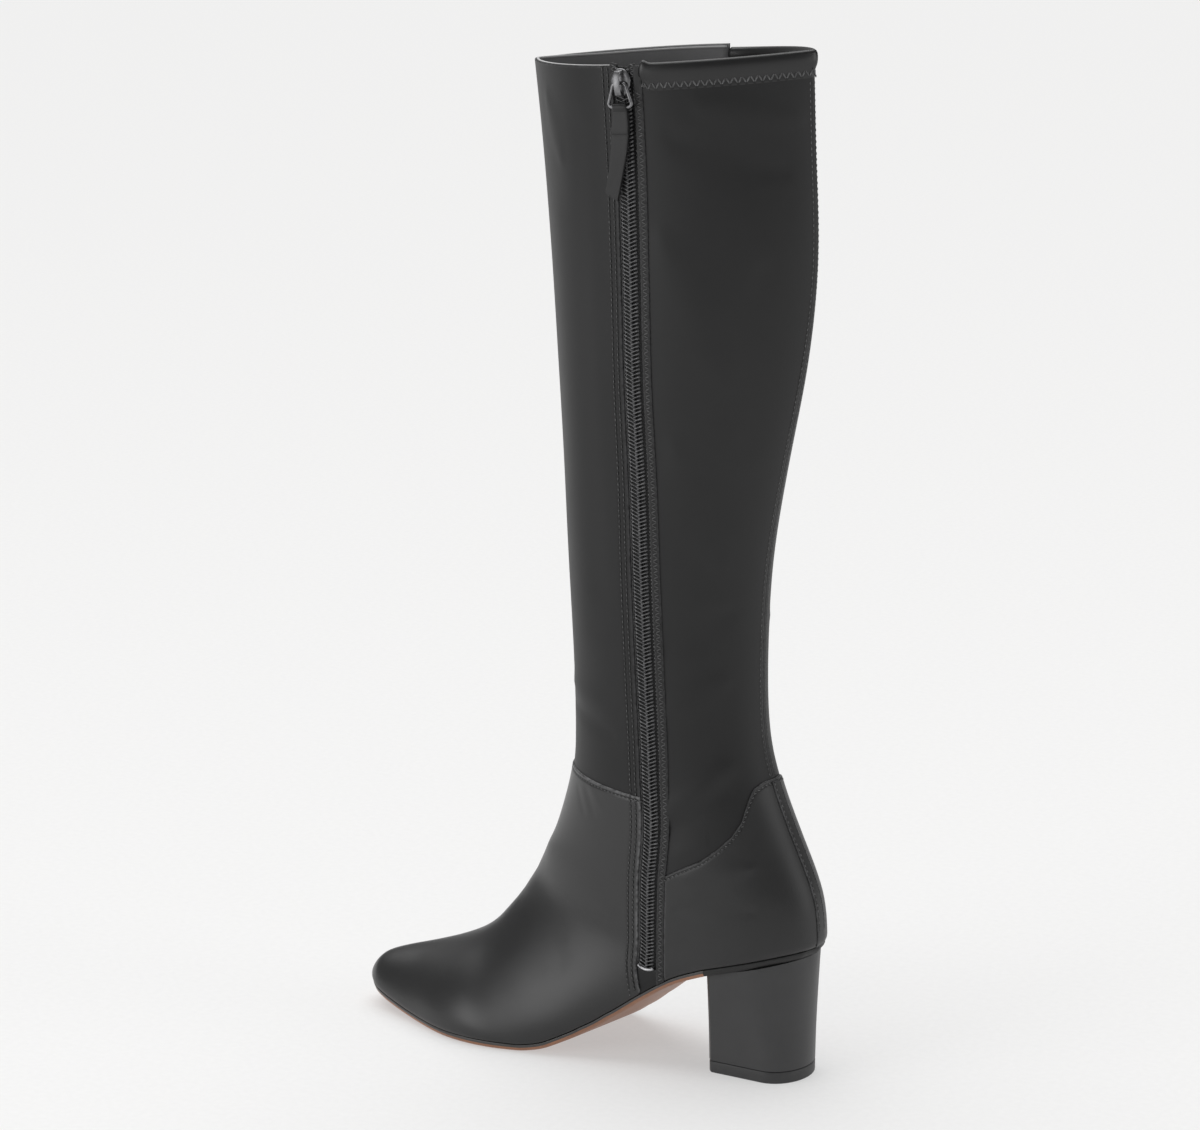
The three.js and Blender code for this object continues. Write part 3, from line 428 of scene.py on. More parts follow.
def node(tree, kind, feeds=None, **settings):
    made = tree.nodes.new(kind)
    for key, value in settings.items():
        setattr(made, key, value)
    for key, value in (feeds or {}).items():
        if isinstance(value, bpy.types.NodeSocket):
            tree.links.new(value, made.inputs[key])
        else:
            made.inputs[key].default_value = value
    return made


def math_node(tree, operation, a, b=0.0, clamp=False):
    return node(tree, "ShaderNodeMath", {0: a, 1: b}, operation=operation, use_clamp=clamp).outputs[0]


def new_group(name, inputs, outputs):
    tree = bpy.data.node_groups.new(name, "ShaderNodeTree")
    for key, value in inputs.items():
        tree.interface.new_socket(key, in_out="INPUT", socket_type="NodeSocketFloat").default_value = value
    for key, kind in outputs.items():
        tree.interface.new_socket(key, in_out="OUTPUT", socket_type=kind)
    return tree, tree.nodes.new("NodeGroupInput").outputs, tree.nodes.new("NodeGroupOutput").inputs


def leather_grain_group():
    """Fine pores and wrinkles between them, with slow changes of tone over the hide."""
    tree, given, out = new_group(
        "Leather grain", {"Cell size": 1100.0, "Wrinkle": 0.5, "Patch size": 16.0},
        {"Height": "NodeSocketFloat", "Tone": "NodeSocketFloat"})
    place = node(tree, "ShaderNodeTexCoord").outputs["Object"]
    bend = node(tree, "ShaderNodeTexNoise", {"Vector": place, "Scale": 380.0, "Detail": 2.0, "Roughness": 0.55})
    shift = node(tree, "ShaderNodeVectorMath", {0: bend.outputs["Color"], 1: (0.0011, 0.0011, 0.0011)},
                 operation="MULTIPLY")
    moved = node(tree, "ShaderNodeVectorMath", {0: place, 1: shift.outputs[0]}, operation="ADD").outputs[0]
    cells = node(tree, "ShaderNodeTexVoronoi", {"Vector": moved, "Scale": given["Cell size"]},
                 feature="DISTANCE_TO_EDGE")
    pore = node(tree, "ShaderNodeMapRange", {0: cells.outputs[0], 2: 0.22, 3: 0.0, 4: 1.0},
                interpolation_type="SMOOTHSTEP")
    fine = node(tree, "ShaderNodeTexNoise", {"Vector": place, "Scale": 2600.0, "Detail": 3.0, "Roughness": 0.6})
    slow = node(tree, "ShaderNodeTexNoise", {"Vector": place, "Scale": 120.0, "Detail": 3.0, "Roughness": 0.5})
    height = math_node(tree, "MULTIPLY", pore.outputs[0], given["Wrinkle"])
    height = math_node(tree, "ADD", height, math_node(tree, "MULTIPLY", fine.outputs[0], 0.35))
    tree.links.new(math_node(tree, "ADD", height, math_node(tree, "MULTIPLY", slow.outputs[0], 0.5)), out["Height"])
    patch = node(tree, "ShaderNodeTexNoise",
                 {"Vector": place, "Scale": given["Patch size"], "Detail": 4.0, "Roughness": 0.6})
    tree.links.new(patch.outputs[0], out["Tone"])
    return tree


def rubbed_edge_and_highlight_group():
    """Where a piece's edges are painted lighter, broken up by small scuffs: rubbed wear, and where the edge colour is
    set high, as on the vamp, also painted highlight.
    """
    tree, given, out = new_group("Rubbed edge and painted highlight", {"Reach": 0.0016, "Amount": 1.0}, {"Mask": "NodeSocketFloat"})
    place = node(tree, "ShaderNodeTexCoord").outputs["Object"]
    rim = node(tree, "ShaderNodeAttribute", attribute_name="rim").outputs["Fac"]
    near = node(tree, "ShaderNodeMapRange", {0: rim, 1: 0.0, 2: given["Reach"], 3: 1.0, 4: 0.0},
                interpolation_type="SMOOTHSTEP")
    scuff = node(tree, "ShaderNodeTexNoise", {"Vector": place, "Scale": 420.0, "Detail": 4.0, "Roughness": 0.65})
    spots = node(tree, "ShaderNodeMapRange", {0: scuff.outputs[0], 1: 0.32, 2: 0.62}, interpolation_type="SMOOTHSTEP")
    both = math_node(tree, "MULTIPLY", near.outputs[0], spots.outputs[0])
    tree.links.new(math_node(tree, "MULTIPLY", both, given["Amount"], True), out["Mask"])
    return tree


def weave_group():
    """Two crossing sets of threads that follow the piece's own lengthways and crossways."""
    tree, given, out = new_group(
        "Weave", {"Thread": 0.0004}, {"Height": "NodeSocketFloat", "Tone": "NodeSocketFloat"})
    place = node(tree, "ShaderNodeTexCoord").outputs["UV"]
    parts = node(tree, "ShaderNodeSeparateXYZ", {0: place}).outputs
    turns = math_node(tree, "DIVIDE", 2 * math.pi, given["Thread"])
    across = math_node(tree, "SINE", math_node(tree, "MULTIPLY", parts[0], turns))
    down = math_node(tree, "SINE", math_node(tree, "MULTIPLY", parts[1], turns))
    both = math_node(tree, "MULTIPLY", across, down)
    tree.links.new(math_node(tree, "ADD", math_node(tree, "MULTIPLY", both, 0.5), 0.5), out["Height"])
    patch = node(tree, "ShaderNodeTexNoise", {"Vector": place, "Scale": 30.0, "Detail": 4.0, "Roughness": 0.6})
    tree.links.new(patch.outputs[0], out["Tone"])
    return tree


LEATHER_GRAIN = leather_grain_group()
RUBBED_EDGE_AND_HIGHLIGHT = rubbed_edge_and_highlight_group()
WEAVE = weave_group()


def new_material(name):
    material = bpy.data.materials.new(name)
    material.use_nodes = True
    tree = material.node_tree
    return material, tree, tree.nodes["Principled BSDF"]


def group_node(tree, group, **values):
    return node(tree, "ShaderNodeGroup", {k.replace("_", " "): v for k, v in values.items()}, node_tree=group)


def tones(tree, value, stops):
    ramp = node(tree, "ShaderNodeValToRGB", {0: value})
    for n, (place, colour) in enumerate(stops):
        stop = ramp.color_ramp.elements[n] if n < 2 else ramp.color_ramp.elements.new(place)
        stop.position, stop.color = place, (*colour, 1)
    return ramp.outputs[0]


def mixed(tree, share, a, b):
    mix = tree.nodes.new("ShaderNodeMix")
    mix.data_type = "RGBA"
    for socket, value in ((mix.inputs[0], share), (mix.inputs[6], a), (mix.inputs[7], b)):
        if isinstance(value, bpy.types.NodeSocket):
            tree.links.new(value, socket)
        else:
            socket.default_value = (*value, 1)
    return mix.outputs[2]


def uneven_gloss(tree, shader, value, rough):
    """Lets the roughness follow a value between 0 and 1, by a fifth."""
    share = math_node(tree, "MULTIPLY", value, 0.2)
    tree.links.new(math_node(tree, "ADD", share, rough - 0.1), shader.inputs["Roughness"])


def leather(name, dark, light, rough, grain=0.25, cell=1700.0, rub=0.5, depth=0.00006, coat=0.0, gleam=0.4,
            edge_wear_and_highlight=(0.09, 0.09, 0.093)):
    """Finished leather: grain, slow changes of tone, and edges lighter and smoother, from rubbed wear and, on the
    vamp, also painted highlight.
    """
    material, tree, shader = new_material(name)
    hide = group_node(tree, LEATHER_GRAIN, Cell_size=cell, Wrinkle=grain).outputs
    # The edge mask: rubbed wear, and painted highlight where the edge colour is set high.
    rubbed = group_node(tree, RUBBED_EDGE_AND_HIGHLIGHT, Amount=rub).outputs[0]
    colour = mixed(tree, rubbed, tones(tree, hide["Tone"], ((0.3, dark), (0.7, light))), edge_wear_and_highlight)
    tree.links.new(colour, shader.inputs["Base Color"])
    gloss = math_node(tree, "ADD", math_node(tree, "MULTIPLY", hide["Tone"], 0.14), rough - 0.07)
    gloss = math_node(tree, "SUBTRACT", gloss, math_node(tree, "MULTIPLY", rubbed, 0.08))
    tree.links.new(gloss, shader.inputs["Roughness"])
    bump = node(tree, "ShaderNodeBump", {"Height": hide["Height"], "Strength": 0.6, "Distance": depth})
    tree.links.new(bump.outputs[0], shader.inputs["Normal"])
    shader.inputs["Specular IOR Level"].default_value = gleam
    if coat:
        shader.inputs["Coat Weight"].default_value = coat
        shader.inputs["Coat Roughness"].default_value = 0.3
    return material


def cloth(name, dark, light, rough, thread, depth=0.0001, sheen=0.0):
    material, tree, shader = new_material(name)
    woven = group_node(tree, WEAVE, Thread=thread).outputs
    base = tones(tree, woven["Tone"], ((0.3, dark), (0.7, light)))
    # The raised threads are painted lighter than the gaps between them: painted highlight and shade of the weave.
    shaded = mixed(tree, math_node(tree, "MULTIPLY", woven["Height"], 0.5), base, tuple(c * 1.5 for c in light))
    tree.links.new(shaded, shader.inputs["Base Color"])
    uneven_gloss(tree, shader, woven["Tone"], rough)
    bump = node(tree, "ShaderNodeBump", {"Height": woven["Height"], "Strength": 0.6, "Distance": depth})
    tree.links.new(bump.outputs[0], shader.inputs["Normal"])
    shader.inputs["Sheen Weight"].default_value = sheen
    return material


def metal(name, dark, light, rough):
    """Cast and tumbled metal: brushed a little, with a tone that changes at random over it."""
    material, tree, shader = new_material(name)
    place = node(tree, "ShaderNodeTexCoord").outputs["Object"]
    cast = node(tree, "ShaderNodeTexNoise",
                {"Vector": place, "Scale": 260.0, "Detail": 4.0, "Roughness": 0.6}).outputs[0]
    fine = node(tree, "ShaderNodeTexNoise", {"Vector": place, "Scale": 3000.0, "Detail": 2.0}).outputs[0]
    tree.links.new(tones(tree, cast, ((0.35, dark), (0.65, light))), shader.inputs["Base Color"])
    uneven_gloss(tree, shader, cast, rough)
    bump = node(tree, "ShaderNodeBump", {"Height": fine, "Strength": 0.3, "Distance": 0.00004})
    tree.links.new(bump.outputs[0], shader.inputs["Normal"])
    shader.inputs["Metallic"].default_value = 1.0
    return material


def sole_finish(name, dark, light, rough):
    """Smooth sole leather with fine lengthways fibres and rubbed spots."""
    material, tree, shader = new_material(name)
    place = node(tree, "ShaderNodeTexCoord").outputs["Object"]
    long = node(tree, "ShaderNodeMapping", {"Vector": place, "Scale": (0.25, 1.0, 1.0)}).outputs[0]
    fibre = node(tree, "ShaderNodeTexNoise",
                 {"Vector": long, "Scale": 900.0, "Detail": 4.0, "Roughness": 0.6}).outputs[0]
    patch = node(tree, "ShaderNodeTexNoise", {"Vector": place, "Scale": 40.0, "Detail": 4.0}).outputs[0]
    blend = math_node(tree, "ADD", math_node(tree, "MULTIPLY", fibre, 0.5), math_node(tree, "MULTIPLY", patch, 0.5))
    tree.links.new(tones(tree, blend, ((0.35, dark), (0.65, light))), shader.inputs["Base Color"])
    uneven_gloss(tree, shader, patch, rough)
    bump = node(tree, "ShaderNodeBump", {"Height": fibre, "Strength": 0.4, "Distance": 0.00006})
    tree.links.new(bump.outputs[0], shader.inputs["Normal"])
    return material


def thread_finish(name, dark, light, rough=0.38):
    """Twisted thread with a waxy shine."""
    material, tree, shader = new_material(name)
    place = node(tree, "ShaderNodeTexCoord").outputs["Object"]
    patch = node(tree, "ShaderNodeTexNoise", {"Vector": place, "Scale": 700.0, "Detail": 2.0}).outputs[0]
    twist = node(tree, "ShaderNodeTexWave", {"Vector": place, "Scale": 900.0, "Distortion": 1.0},
                 bands_direction="DIAGONAL")
    tree.links.new(tones(tree, patch, ((0.35, dark), (0.65, light))), shader.inputs["Base Color"])
    tree.links.new(math_node(tree, "ADD", math_node(tree, "MULTIPLY", patch, 0.2), rough), shader.inputs["Roughness"])
    bump = node(tree, "ShaderNodeBump", {"Height": twist.outputs["Fac"], "Strength": 0.4, "Distance": 0.00005})
    tree.links.new(bump.outputs[0], shader.inputs["Normal"])
    return material


# The vamp's edge colour is set lighter than the other leathers': partly rubbed wear, partly a painted highlight on
# its lit top edge.
VAMP_LEATHER = leather("Vamp leather", (0.0094, 0.0094, 0.0097), (0.0156, 0.0156, 0.016), 0.36, rub=1.0, coat=0.1,
                       gleam=0.48, edge_wear_and_highlight=(0.14, 0.14, 0.143))
SHAFT_LEATHER = leather("Shaft leather", (0.009, 0.009, 0.0093), (0.015, 0.015, 0.0154), 0.48, gleam=0.28)
COUNTER_LEATHER = leather("Counter leather", (0.014, 0.014, 0.0143), (0.022, 0.022, 0.0224), 0.44, gleam=0.45)
STRETCH_LEATHER = leather("Stretch leather", (0.010, 0.010, 0.0103), (0.015, 0.015, 0.0154), 0.54, grain=0.15,
                          cell=2100.0,
                          rub=0.3, gleam=0.36)
HEM_LEATHER = leather("Hem leather", (0.009, 0.009, 0.0093), (0.014, 0.014, 0.0144), 0.34, grain=0.15, cell=2100.0,
                      rub=0.2,
                      coat=0.1)
HEEL_LEATHER = leather("Heel leather", (0.036, 0.036, 0.037), (0.050, 0.050, 0.051), 0.44, rub=0.0)
TAB_LEATHER = leather("Tab leather", (0.009, 0.009, 0.0093), (0.016, 0.016, 0.0164), 0.46, grain=0.45, gleam=0.36)
LINING = cloth("Lining", (0.12, 0.12, 0.122), (0.17, 0.17, 0.173), 0.6, 0.0006, sheen=0.2)
RAW_EDGE = cloth("Lining raw edge", (0.42, 0.42, 0.42), (0.55, 0.55, 0.55), 0.7, 0.0006)
TAPE_CLOTH = cloth("Zip tape cloth", (0.006, 0.006, 0.0065), (0.010, 0.010, 0.0105), 0.75, 0.0007, sheen=0.1)
INSOLE_LEATHER = leather("Insole leather", (0.05, 0.046, 0.043), (0.075, 0.069, 0.064), 0.6, rub=0.0)
SOLE_EDGE = sole_finish("Sole edge", (0.040, 0.038, 0.037), (0.065, 0.062, 0.060), 0.34)
SOLE_UNDER = sole_finish("Sole leather", (0.24, 0.105, 0.055), (0.36, 0.165, 0.09), 0.46)
# Near black: painted shade on the sole where the heel and the upper's lower edge shade it.
SOLE_SHADE_BY_HEEL = sole_finish("Painted shade on the sole by the heel", (0.006, 0.006, 0.006), (0.010, 0.010, 0.010), 0.6)
LIFT_RUBBER = sole_finish("Lift rubber", (0.028, 0.028, 0.029), (0.040, 0.040, 0.041), 0.5)
TEETH_NYLON = thread_finish("Zip coil", (0.05, 0.05, 0.052), (0.12, 0.12, 0.123), 0.14)
THREAD = thread_finish("Thread", (0.055, 0.055, 0.056), (0.12, 0.12, 0.122))
DARK_THREAD = thread_finish("Dark thread", (0.045, 0.045, 0.045), (0.085, 0.085, 0.086))
TAPE_THREAD = thread_finish("Tape thread", (0.22, 0.22, 0.22), (0.38, 0.38, 0.38))
# Near black: painted shade inside the needle holes.
NEEDLE_HOLE_SHADE = thread_finish("Needle hole painted shade", (0.002, 0.002, 0.002), (0.004, 0.004, 0.004))
SLIDER_METAL = metal("Slider metal", (0.13, 0.13, 0.135), (0.24, 0.24, 0.245), 0.4)
STOP_METAL = metal("Stop metal", (0.26, 0.26, 0.27), (0.42, 0.42, 0.43), 0.3)


# ---- Copies, stitches and rows of them ----

def line_down(shift, pitch, top, bottom, lift):
    """Evenly spaced points beside the zip from one height down to another, with the ways out, down and across."""
    v = np.linspace(0, 15, 6000)
    t = np.interp(v, PLACES, zip_round(shift))
    return spaced(v, t, pitch, lambda p: (p[:, 2] < top) & (p[:, 2] > bottom), lift)


def spaced(v, t, pitch, kept, lift):
    """Evenly spaced points on a line down or round the boot, with the ways out, along and across."""
    path = surface(v, t)
    use = kept(path)
    v, t, path = v[use], t[use], path[use]
    run = run_along(path)
    even = np.linspace(0, run[-1], max(int(run[-1] / pitch), 2) + 1)
    v, t = np.interp(even, run, v), np.interp(even, run, t)
    base, out = surface(v, t), outward(v, t)
    raised = lift(base) if callable(lift) else lift
    base = base + out * np.broadcast_to(raised, len(base))[:, None]
    way = np.gradient(base, axis=0)
    way -= out * (way * out).sum(1, keepdims=True)
    way /= np.linalg.norm(way, axis=1, keepdims=True)
    return base, out, way, np.cross(out, way)


def copies(name, pattern, places, materials, body="boot", turns=None):
    """One mesh with a copy of the pattern at each place: its x goes across, its y along, its z out."""
    verts = np.empty(len(pattern.data.vertices) * 3)
    pattern.data.vertices.foreach_get("co", verts)
    verts = verts.reshape(-1, 3) / MM
    faces = [list(f.vertices) for f in pattern.data.polygons]
    kinds = [f.material_index for f in pattern.data.polygons]
    base, out, way, across = places
    made, made_faces = [], []
    for k in range(len(base)):
        a = 0 if turns is None else turns[k]
        x = verts[:, 0] * math.cos(a) - verts[:, 1] * math.sin(a)
        y = verts[:, 0] * math.sin(a) + verts[:, 1] * math.cos(a)
        made.append(base[k] + np.outer(x, across[k]) + np.outer(y, way[k]) + np.outer(verts[:, 2], out[k]))
        made_faces += [[i + k * len(verts) for i in f] for f in faces]
    piece = new_piece(name, np.concatenate(made), made_faces, None, materials[0], body)
    for material in materials[1:]:
        piece.data.materials.append(material)
    piece.data.polygons.foreach_set("material_index", kinds * len(base))
    return piece


def only(piece):
    """Leaves this piece alone selected and active."""
    bpy.ops.object.select_all(action="DESELECT")
    piece.select_set(True)
    bpy.context.view_layer.objects.active = piece


def start(add, **values):
    """Adds a primitive, to be shaped in edit mode."""
    bpy.ops.object.select_all(action="DESELECT")
    add(**values)
    piece = bpy.context.active_object
    bpy.ops.object.transform_apply(location=True, rotation=True, scale=True)
    return piece


def pick(piece, kind, wanted):
    """Selects a piece's points, edges or faces in edit mode, by their middle and normal in millimetres."""
    bpy.ops.mesh.select_mode(type=kind)
    mesh = bmesh.from_edit_mesh(piece.data)
    for part in (*mesh.faces, *mesh.edges, *mesh.verts):
        part.select = False
    mesh.normal_update()
    if kind == "FACE":
        parts = [(f, f.calc_center_median(), f.normal) for f in mesh.faces]
    elif kind == "EDGE":
        parts = [(e, (e.verts[0].co + e.verts[1].co) / 2, e.verts[1].co - e.verts[0].co) for e in mesh.edges]
    else:
        parts = [(v, v.co, v.normal) for v in mesh.verts]
    for part, middle, way in parts:
        if wanted(middle / MM, way):
            part.select_set(True)
    mesh.select_flush_mode()
    bmesh.update_edit_mesh(piece.data)


def edit():
    bpy.ops.object.mode_set(mode="EDIT")
    bpy.ops.mesh.select_all(action="SELECT")


def pick_all():
    bpy.ops.mesh.select_all(action="SELECT")


def face_outwards():
    pick_all()
    bpy.ops.mesh.normals_make_consistent(inside=False)


def done():
    bpy.ops.object.mode_set(mode="OBJECT")


def drop(piece):
    mesh = piece.data
    bpy.data.objects.remove(piece)
    bpy.data.meshes.remove(mesh)


def coil_tooth():
    """One turn of the coil: a wire that arches from the tape over to the other row, with a thicker head."""
    tooth = start(bpy.ops.mesh.primitive_circle_add, vertices=6, radius=0.4 * MM, fill_type="NGON",
                  location=(-2.0 * MM, 0, 0))
    edit()
    bpy.ops.mesh.spin(steps=7, angle=-math.pi, center=(0, 0, 0), axis=(0, 1, 0))
    pick_all()
    bpy.ops.transform.resize(value=(1, 1, 0.55))
    pick(tooth, "VERT", lambda m, n: abs(m.x) > 1.25)
    bpy.ops.transform.resize(value=(1.05, 1.5, 1.0), center_override=(0, 0, 0))
    pick(tooth, "VERT", lambda m, n: abs(m.x) < 0.95)
    bpy.ops.transform.resize(value=(1.0, 0.7, 0.82), center_override=(0, 0, 0))
    pick_all()
    bpy.ops.mesh.remove_doubles(threshold=0.00001)
    face_outwards()
    done()
    return tooth


def stitch_form(length, radius):
    """One stitch: a short round thread whose ends dip toward two flat black discs, the painted shade of its needle
    holes.
    """
    thread = start(bpy.ops.mesh.primitive_uv_sphere_add, segments=6, ring_count=6, radius=MM,
                   rotation=(math.pi / 2, 0, 0))
    edit()
    bpy.ops.transform.resize(value=(radius, length / 2, radius))
    pick(thread, "VERT", lambda m, n: abs(m.y) > 0.36 * length)
    bpy.ops.transform.translate(value=(0, 0, -0.5 * radius * MM))
    for end in (-1, 1):
        bpy.ops.mesh.primitive_circle_add(vertices=6, radius=radius * 1.6 * MM, fill_type="NGON",
                                          location=(0, end * length * 0.52 * MM, 0.07 * MM))
    done()
    # The six-sided discs take the second material, the black painted shade of the needle holes.
    for face in thread.data.polygons:
        face.material_index = 1 if len(face.vertices) == 6 else 0
    return thread


def shaft_or_vamp(points):
    """How far out the seams beside the zip lie: less on the shaft than on the vamp over it."""
    return np.where(points[:, 2] < vamp_edge(points[:, 0]), 1.02, 0.28)


def across_row(patch, away, pitch, lift, side="top"):
    """A row of places that keeps the same distance from the top or the right edge of a panel."""
    v, t, n = patch.v, patch.t, patch.from_top
    if side == "right":
        v, t, n = v.T[::-1], t.T[::-1], patch.from_right.T[::-1]
    line_v = np.array([np.interp(away, n[:, k], v[:, k]) for k in range(v.shape[1])])
    line_t = np.array([np.interp(away, n[:, k], t[:, k]) for k in range(v.shape[1])])
    fine = np.linspace(0, len(line_v) - 1, 4000)
    index = np.arange(len(line_v))
    return spaced(np.interp(fine, index, line_v), np.interp(fine, index, line_t), pitch, lambda p: p[:, 2] > -1, lift)


def trimmed(places, kept):
    use = kept(places[0])
    return tuple(part[use] for part in places)


def zigzag(places, width):
    """How each stitch of a zigzag row is turned, and how long the stitches are."""
    step = np.linalg.norm(np.diff(places[0], axis=0), axis=1).mean()
    lean = math.atan2(width, step)
    return [lean if k % 2 else -lean for k in range(len(places[0]))], math.hypot(width, step)


def sew(name, places, length=2.0, radius=0.26, zigzag_width=0.0, lean=0.0, thread_look=None):
    """A row of stitches with the painted shade of their needle holes."""
    turns = [lean] * len(places[0])
    if zigzag_width:
        turns, length = zigzag(places, zigzag_width)
    thread = stitch_form(length, radius)
    row = copies(name, thread, places, [thread_look or THREAD, NEEDLE_HOLE_SHADE], turns=turns)
    drop(thread)
    return row


# ---- Leather panels ----

ZIP_TOE = zip_round(-ZIP_SLOT / 2)
ZIP_HEEL = zip_round(ZIP_SLOT / 2 + 0.3)
PLACKET_EDGE = zip_round(ZIP_SLOT / 2 + PLACKET + 0.4)
OUTER_JOIN = outer_round(SHAFT_SEAM_X)
OUTER_SEAM = outer_round(SIDE_SEAM_X)
INNER_FEATHER = feather_round(-1, 0.3)
OUTER_FEATHER = feather_round(1, 0.3)
for feather in (INNER_FEATHER, OUTER_FEATHER):
    feather[-4:] = feather[-5]

SIDE_STEPS = (0, 0.08, 0.3, 0.7, 1.3, 1.9, 2.3, 2.6, 2.9, 3.3, 4.1, 4.8, 5.15, 5.4, 5.65, 6.1, 6.8, 8.0)
END_STEPS = (0, 0.08, 0.3, 0.7, 1.2, 1.6, 1.9, 2.2, 2.6, 3.2, 4.6)


def over_vamp(drop):
    return lambda p: p[..., 2] - vamp_edge(p[..., 0]) + drop


def over_counter(drop):
    return lambda p: p[..., 2] - counter_edge(p[..., 0]) + drop


def over_sole(lift):
    return lambda p: p[..., 2] - sole_top(p[..., 0], p[..., 1]) - lift


def under_collar(drop):
    slope = COLLAR_RISE / (ANKLE_DEPTH + 1.05 * (CALF_DEPTH - ANKLE_DEPTH))
    return lambda p: p[..., 2] - COLLAR_HEIGHT - slope * (p[..., 0] - along_foot(0.3355)) + drop


def soft_line(points, side, line, width):
    """1 on a line drawn on one side of the boot (x and z), falling softly to 0 beside it."""
    line = np.asarray(line, float)
    x, z = points[..., 0], points[..., 2]
    nearest = np.full(x.shape, 1e9)
    for (ax, az), (bx, bz) in zip(line[:-1], line[1:]):
        length = (bx - ax) ** 2 + (bz - az) ** 2
        share = np.clip(((x - ax) * (bx - ax) + (z - az) * (bz - az)) / length, 0, 1)
        away = (x - ax - share * (bx - ax)) ** 2 + (z - az - share * (bz - az)) ** 2
        thin = np.sin(np.clip(0.12 + 0.76 * share, 0, 1) * math.pi) if len(line) == 2 else 1
        nearest = np.minimum(nearest, away / np.maximum(thin, 0.25) ** 2)
    here = points[..., 1] * side > -4
    return np.exp(-nearest / width**2) * here


def relief(points, folds):
    """The sum of soft ridges (up) and troughs (down) on a panel, in millimetres."""
    whole = sum((height * soft_line(points, side, line, width) for side, line, width, height in folds),
                np.zeros(points.shape[:2]))
    return np.maximum(whole, -0.62)


def groove(distance, *places, depth=0.3, width=0.5):
    """The shallow lines that rows of stitches pull into the leather."""
    return sum(-depth * np.exp(-((distance - place) / width) ** 2) for place in places)


# Creases and soft folds: side, line, width, height
SHAFT_FOLDS = (
    (-1, ((-96, 395), (-90, 300), (-84, 205)), 9, 0.5),
    (-1, ((-78, 440), (-76, 330), (-72, 230)), 7, -0.35),
    (-1, ((-104, 452), (-92, 425)), 6, 0.5),
    (-1, ((-96, 168), (-66, 160)), 4, -0.5),
    (-1, ((-98, 178), (-64, 172)), 5, 0.45),
    (1, ((-92, 380), (-86, 240)), 9, 0.5),
    (1, ((-98, 172), (-66, 162)), 5, -0.5),
)
STRETCH_FOLDS = (
    (-1, ((-38, 118), (-24, 126), (-12, 138)), 3.4, -0.6),
    (-1, ((-37, 128), (-24, 137), (-13, 148)), 4.2, 1.0),
    (-1, ((-33, 107), (-18, 115)), 4.0, 0.7),
    (-1, ((-36, 175), (-14, 190)), 7, 0.5),
    (-1, ((-36, 205), (-12, 222)), 8, -0.5),
    (-1, ((-30, 440), (10, 425)), 9, -0.6),
    (-1, ((-20, 455), (14, 448)), 7, 0.5),
    (-1, ((-34, 395), (-8, 330)), 12, 0.6),
    (-1, ((6, 380), (-2, 300)), 10, -0.5),
    (-1, ((-30, 300), (-14, 245)), 10, 0.5),
    (1, ((-34, 120), (-14, 140)), 4, -0.6),
    (1, ((-30, 200), (-10, 215)), 8, 0.5),
    (1, ((-30, 440), (8, 428)), 9, -0.5),
)
VAMP_FOLDS = (
    (-1, ((-84, 131), (-77, 118)), 1.7, -0.16),
    (-1, ((-90, 129), (-84, 117)), 1.7, -0.14),
    (-1, ((-80, 132), (-72, 122)), 1.7, 0.14),
    (-1, ((-112, 92), (-70, 74)), 15, 0.35),
    (-1, ((-128, 62), (-96, 44)), 16, -0.3),
    (1, ((-112, 92), (-70, 74)), 15, 0.35),
    (1, ((-128, 62), (-96, 44)), 16, -0.3),
)
COUNTER_FOLDS = (
    (-1, ((-26, 98), (2, 104)), 6, 0.35),
    (-1, ((-30, 82), (4, 84)), 6, -0.3),
)


def tucked(patch, depth, reach):
    """How far a panel turns in at its lower edge, where it goes round the last to the sole."""
    p = patch.points
    share = np.clip((p[..., 2] - sole_top(p[..., 0], p[..., 1])) / reach, 0, 1)
    return -depth * (1 - np.sqrt(1 - (1 - share) ** 2))


def panel(name, patch, outside, inside, material, rounded, node_names, edge=0.6, rim=None):
    piece = patch.shell(name, outside, inside, material, rounded=rounded, edge=edge, rim=rim)
    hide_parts(*node_names)
    return piece


front = Patch(ZIP_TOE, OUTER_JOIN, below=over_vamp(6), columns=70, rows=110,
              side_insets=SIDE_STEPS, end_insets=END_STEPS)
pulled = groove(front.from_left, 2.6, 5.4) + groove(front.from_right, 2.4, 5.0)
panel("shaft_front", front, 0.25 + relief(front.points, SHAFT_FOLDS) + pulled, -0.9, SHAFT_LEATHER, "lrt", ["upper"])

HEEL_LINE = np.full(len(PLACES), -1.0)
OUTER_JOIN_ROUND = -2 + OUTER_JOIN
OUTER_SEAM_ROUND = -2 + OUTER_SEAM

backs = (
    ("shaft_back_inner", ZIP_HEEL, HEEL_LINE, "lr"),
    ("shaft_back_outer", HEEL_LINE, OUTER_JOIN_ROUND - 0.02, "l"),
)
for name, left, right, rounded in backs:
    back = Patch(left, right, above=under_collar(4), below=over_counter(5), columns=56, rows=110,
                 side_insets=SIDE_STEPS, end_insets=END_STEPS)
    panel(name, back, 0.05 + relief(back.points, STRETCH_FOLDS), -0.9, STRETCH_LEATHER, rounded, ["upper"],
          edge=0.9)

